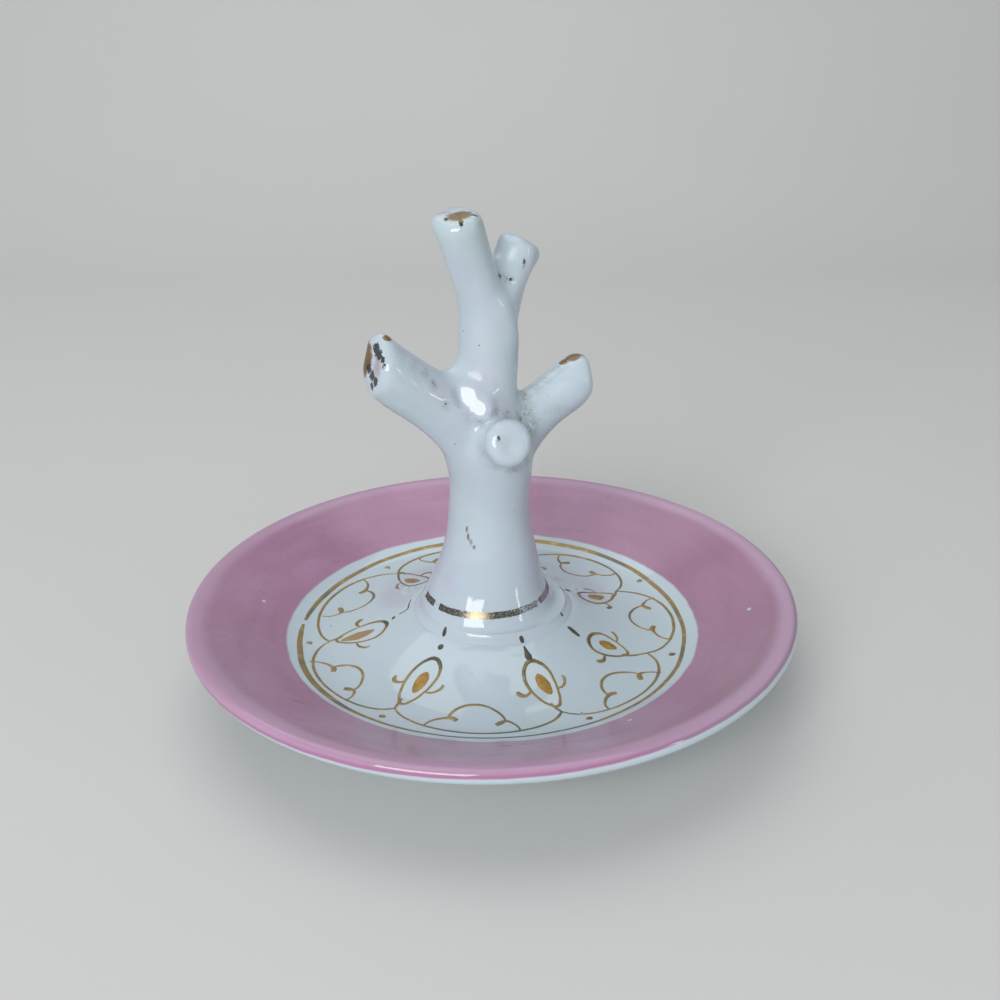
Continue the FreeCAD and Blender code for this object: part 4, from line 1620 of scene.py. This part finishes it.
@dataclass
class GiltBorder:
    """The gilt border of the well: a line, arches, brackets and medallions, spaced by hand."""

    medallions: tuple[Medallion, ...] = (
        Medallion(238.0, (238.2, 25.2), (238.0, 27.8)),
        Medallion(291.7, (292.4, 24.6), (297.7, 27.8), foot=14.9, top=23.3, stalk=Stalk.POINTED),
        Medallion(
            335.6,
            (340.4, 24.1),
            (341.5, 27.7),
            foot=15.8,
            top=21.6,
            spread=1.15,
            stalk=Stalk.RADIAL_DASH,
        ),
        Medallion(383.0, (388.3, 22.8), (390.0, 28.0), foot=14.4, top=21.6, lean=0.9),
        Medallion(435.0, (435.5, 24.6), (441.0, 27.6)),
        Medallion(493.0, (491.5, 24.2), (491.5, 27.0), lean=-0.6),
        Medallion(
            547.7,
            (548.5, 24.8),
            (549.0, 27.8),
            foot=16.1,
            top=23.7,
            spread=1.12,
            seed_top=23.2,
            stalk=Stalk.WAVY_LINE,
        ),
    )
    cartouches: tuple[Cartouche, ...] = (
        Cartouche(264.0),
        Cartouche(317.6, 0.92, 0.25),
        Cartouche(364.3, 1.0, -0.1),
        Cartouche(412.0, 0.9, -0.3),
        Cartouche(464.0, 1.05, -0.1),
        Cartouche(517.4, 1.03, -0.35),
        Cartouche(572.2, 0.88, 0.95),
    )
    crests: tuple[float, ...] = (27.65, 27.95, 27.8, 27.6, 27.5, 27.65, 28.4)
    arch: tuple[Polar, ...] = (
        (0.0, 0.0),
        (0.05, 0.30),
        (0.13, 0.60),
        (0.25, 0.85),
        (0.42, 1.0),
        (0.6, 1.0),
        (0.76, 0.86),
        (0.88, 0.60),
        (0.95, 0.33),
        (1.0, 0.0),
    )
    arch_widths: tuple[float, ...] = (0.30, 0.36, 0.40, 0.42, 0.44, 0.46, 0.46, 0.44, 0.42, 0.36)
    well_line: tuple[Place, ...] = (
        (178.6, 29.1, 0.45),
        (183.0, 29.1, 0.80),
        (192.0, 29.2, 0.85),
        (206.0, 29.6, 0.95),
        (220.0, 29.7, 0.95),
        (235.0, 29.55, 0.80),
        (252.0, 29.3, 0.52),
        (270.0, 29.2, 0.45),
        (288.0, 29.2, 0.48),
        (305.0, 29.35, 0.60),
        (325.0, 29.35, 0.62),
        (345.0, 29.05, 0.62),
        (365.0, 28.95, 0.66),
        (385.0, 29.05, 0.70),
        (405.0, 29.4, 0.74),
        (425.0, 29.65, 0.85),
        (445.0, 29.5, 0.82),
        (465.0, 29.3, 0.80),
        (485.0, 29.15, 0.74),
        (505.0, 28.85, 0.72),
        (520.0, 28.85, 0.72),
        (531.0, 29.0, 0.62),
        (536.2, 29.1, 0.45),
    )
    line_crown: float = 0.06
    seed_crown: float = 0.03
    # darkness of the border and of the marks: tarnish and painted reflection
    border_darkness: float = 0.45
    mark_darkness: float = 0.85
    gilding: Gilding = Gilding()
    seeds: SeedFinish = SeedFinish()

    def arches(self) -> list[Touch]:
        """The arches that run from each medallion's junction to the next."""
        touches = []
        ends = [medallion.junction for medallion in self.medallions]
        ends.append((ends[0][0] + 360.0, ends[0][1]))
        for start, end, crest in zip(ends, ends[1:], self.crests):
            path = []
            for share, rise in self.arch:
                base = start[1] + (end[1] - start[1]) * share
                path.append((start[0] + (end[0] - start[0]) * share, base + (crest - base) * rise))
            touches.append(Touch(tuple(path), self.arch_widths))
        return touches

    def build(self, grounds: Sequence[Piece]) -> list[Piece]:
        """Paints the border.

        Args:
            grounds: the glazed pieces that it lies on

        Returns:
            The border's pieces.
        """
        brush = Brush()
        line = Touch(
            tuple((angle, radius) for angle, radius, _ in self.well_line),
            tuple(width for _, _, width in self.well_line),
        )
        rings = [touch for medallion in self.medallions for touch in medallion.lines()]
        brackets = [touch for cartouche in self.cartouches for touch in cartouche.lines()]
        marks = [touch for medallion in self.medallions for touch in medallion.marks()]
        seeds = [medallion.seed() for medallion in self.medallions]
        border = self.gilding.material("border_gilding", self.border_darkness)
        dark = self.gilding.material("mark_gilding", self.mark_darkness)
        pieces = []
        for name, touches, painter, material in (
            ("gilt_well_line", [line], Brush(crown=self.line_crown), border),
            ("gilt_arches", self.arches(), brush, border),
            ("gilt_brackets", brackets, brush, border),
            ("gilt_medallions", rings, brush, border),
            ("gilt_marks", marks, brush, dark),
            ("gilt_seeds", seeds, Brush(crown=self.seed_crown), self.seeds.material()),
        ):
            piece = painter.paint(name, touches, grounds)
            Bench.dress(piece, material, Slot.SAUCER)
            pieces.append(piece)
        return pieces


@dataclass(frozen=True)
class Lamp:
    """A soft lamp that shines at the dish.

    Attributes:
        direction: from the dish to the lamp
        away: how far away it hangs
        size: its width and height
        power: its power in watts
    """

    AIM = 25.0

    direction: Place
    away: float
    size: Polar
    power: float

    def hang(self, name: str) -> None:
        """Hangs the lamp in its place."""
        Bench.clear()
        way = Vector(self.direction).normalized()
        aim = Vector((0.0, 0.0, self.AIM * MM))
        bpy.ops.object.light_add(type="AREA", location=aim + way * self.away * MM)
        lamp = bpy.context.object
        lamp.name = name
        lamp.rotation_euler = (-way).to_track_quat("-Z", "Y").to_euler()
        lamp.data.shape = "RECTANGLE"
        lamp.data.size = self.size[0] * MM
        lamp.data.size_y = self.size[1] * MM
        lamp.data.energy = self.power


@dataclass
class Studio:
    """A pale sweep, soft light from a window at the front left, and the camera."""

    floor_colour: Colour = (0.66, 0.655, 0.64)
    floor_shade: float = 0.97
    floor_blotch: float = 60.0
    floor_roughness: float = 0.75
    floor_size: float = 1400.0
    wall_distance: float = 520.0
    wall_height: float = 700.0
    sweep: float = 240.0
    sweep_steps: int = 16
    window: Lamp = Lamp((-0.345, -0.85, 0.39), 620.0, (340.0, 290.0), 2.5)
    ceiling: Lamp = Lamp((-0.15, 0.30, 0.93), 620.0, (600.0, 600.0), 1.3)
    strip: Lamp = Lamp((0.853, -0.492, 0.18), 620.0, (40.0, 260.0), 0.2)
    sky: Colour = (0.90, 0.95, 1.0)
    sky_strength: float = 0.39
    camera_place: Place = (1.39, -147.0, 91.53)
    camera_pitch: float = 66.37
    camera_roll: float = -0.70
    lens: float = 39.6
    sensor: float = 36.0
    sight: Polar = (0.01, 10.0)

    def floor(self) -> None:
        """The floor, swept up into a plain wall behind."""
        Bench.clear()
        bpy.ops.mesh.primitive_plane_add(size=self.floor_size * MM)
        floor = bpy.context.object
        floor.name = "floor_sweep"
        back = self.floor_size * MM / 2

        def at_back(edge: bpy.types.MeshEdge) -> bool:
            """Whether an edge of the floor runs along the foot of the wall."""
            places = [floor.data.vertices[index].co for index in edge.vertices]
            return all(place.y > back / 2 and abs(place.z) < MM for place in places)

        Bench.pick(floor, "EDGE", at_back)
        bpy.ops.transform.translate(value=(0.0, self.wall_distance * MM - back, 0.0))
        bpy.ops.mesh.extrude_region_move(TRANSFORM_OT_translate={"value": (0.0, 0.0, self.wall_height * MM)})
        Bench.pick(floor, "EDGE", at_back)
        bpy.ops.mesh.bevel(offset=self.sweep * MM, segments=self.sweep_steps, affect="EDGES")
        bpy.ops.object.mode_set(mode="OBJECT")
        bpy.ops.object.shade_smooth()
        sketch = NodeSketch("pale_paper")
        darker = tuple(value * self.floor_shade for value in self.floor_colour)
        sketch.shade("Base Color", sketch.blend(sketch.noise(self.floor_blotch), self.floor_colour, darker))
        sketch.shade("Roughness", self.floor_roughness)
        floor.data.materials.append(sketch.material)

    def light(self) -> None:
        """The window, the bright ceiling, a gap of light on the right and an even sky."""
        self.window.hang("window")
        self.ceiling.hang("ceiling")
        self.strip.hang("strip")
        world = bpy.data.worlds.new("soft_sky")
        world.use_nodes = True
        sky = world.node_tree.nodes["Background"]
        sky.inputs["Color"].default_value = (*self.sky, 1.0)
        sky.inputs["Strength"].default_value = self.sky_strength
        bpy.context.scene.world = world

    def camera(self) -> None:
        """The camera, at the height and angle of a hand-held photograph."""
        Bench.clear()
        bpy.ops.object.camera_add(location=Vector(self.camera_place) * MM)
        camera = bpy.context.object
        camera.name = "camera"
        camera.rotation_mode = "ZYX"
        camera.rotation_euler = (math.radians(self.camera_pitch), 0.0, math.radians(self.camera_roll))
        camera.data.lens = self.lens
        camera.data.sensor_width = self.sensor
        camera.data.clip_start, camera.data.clip_end = self.sight
        bpy.context.scene.camera = camera

    def set_up(self) -> None:
        """Builds the whole studio."""
        self.floor()
        self.light()
        self.camera()
        bpy.context.scene.view_settings.view_transform = "Standard"


def main() -> None:
    """Builds the ring dish's looks round its solids."""
    logging.basicConfig(level=logging.INFO, format="%(name)s: %(message)s")
    dish = Saucer().build()
    ring_tree = RingTree()
    tree = ring_tree.build()
    TrunkLine().build(tree, ring_tree.foot.axis)
    GiltBorder().build([dish, tree])
    Studio().set_up()


if __name__ == "__main__":
    main()
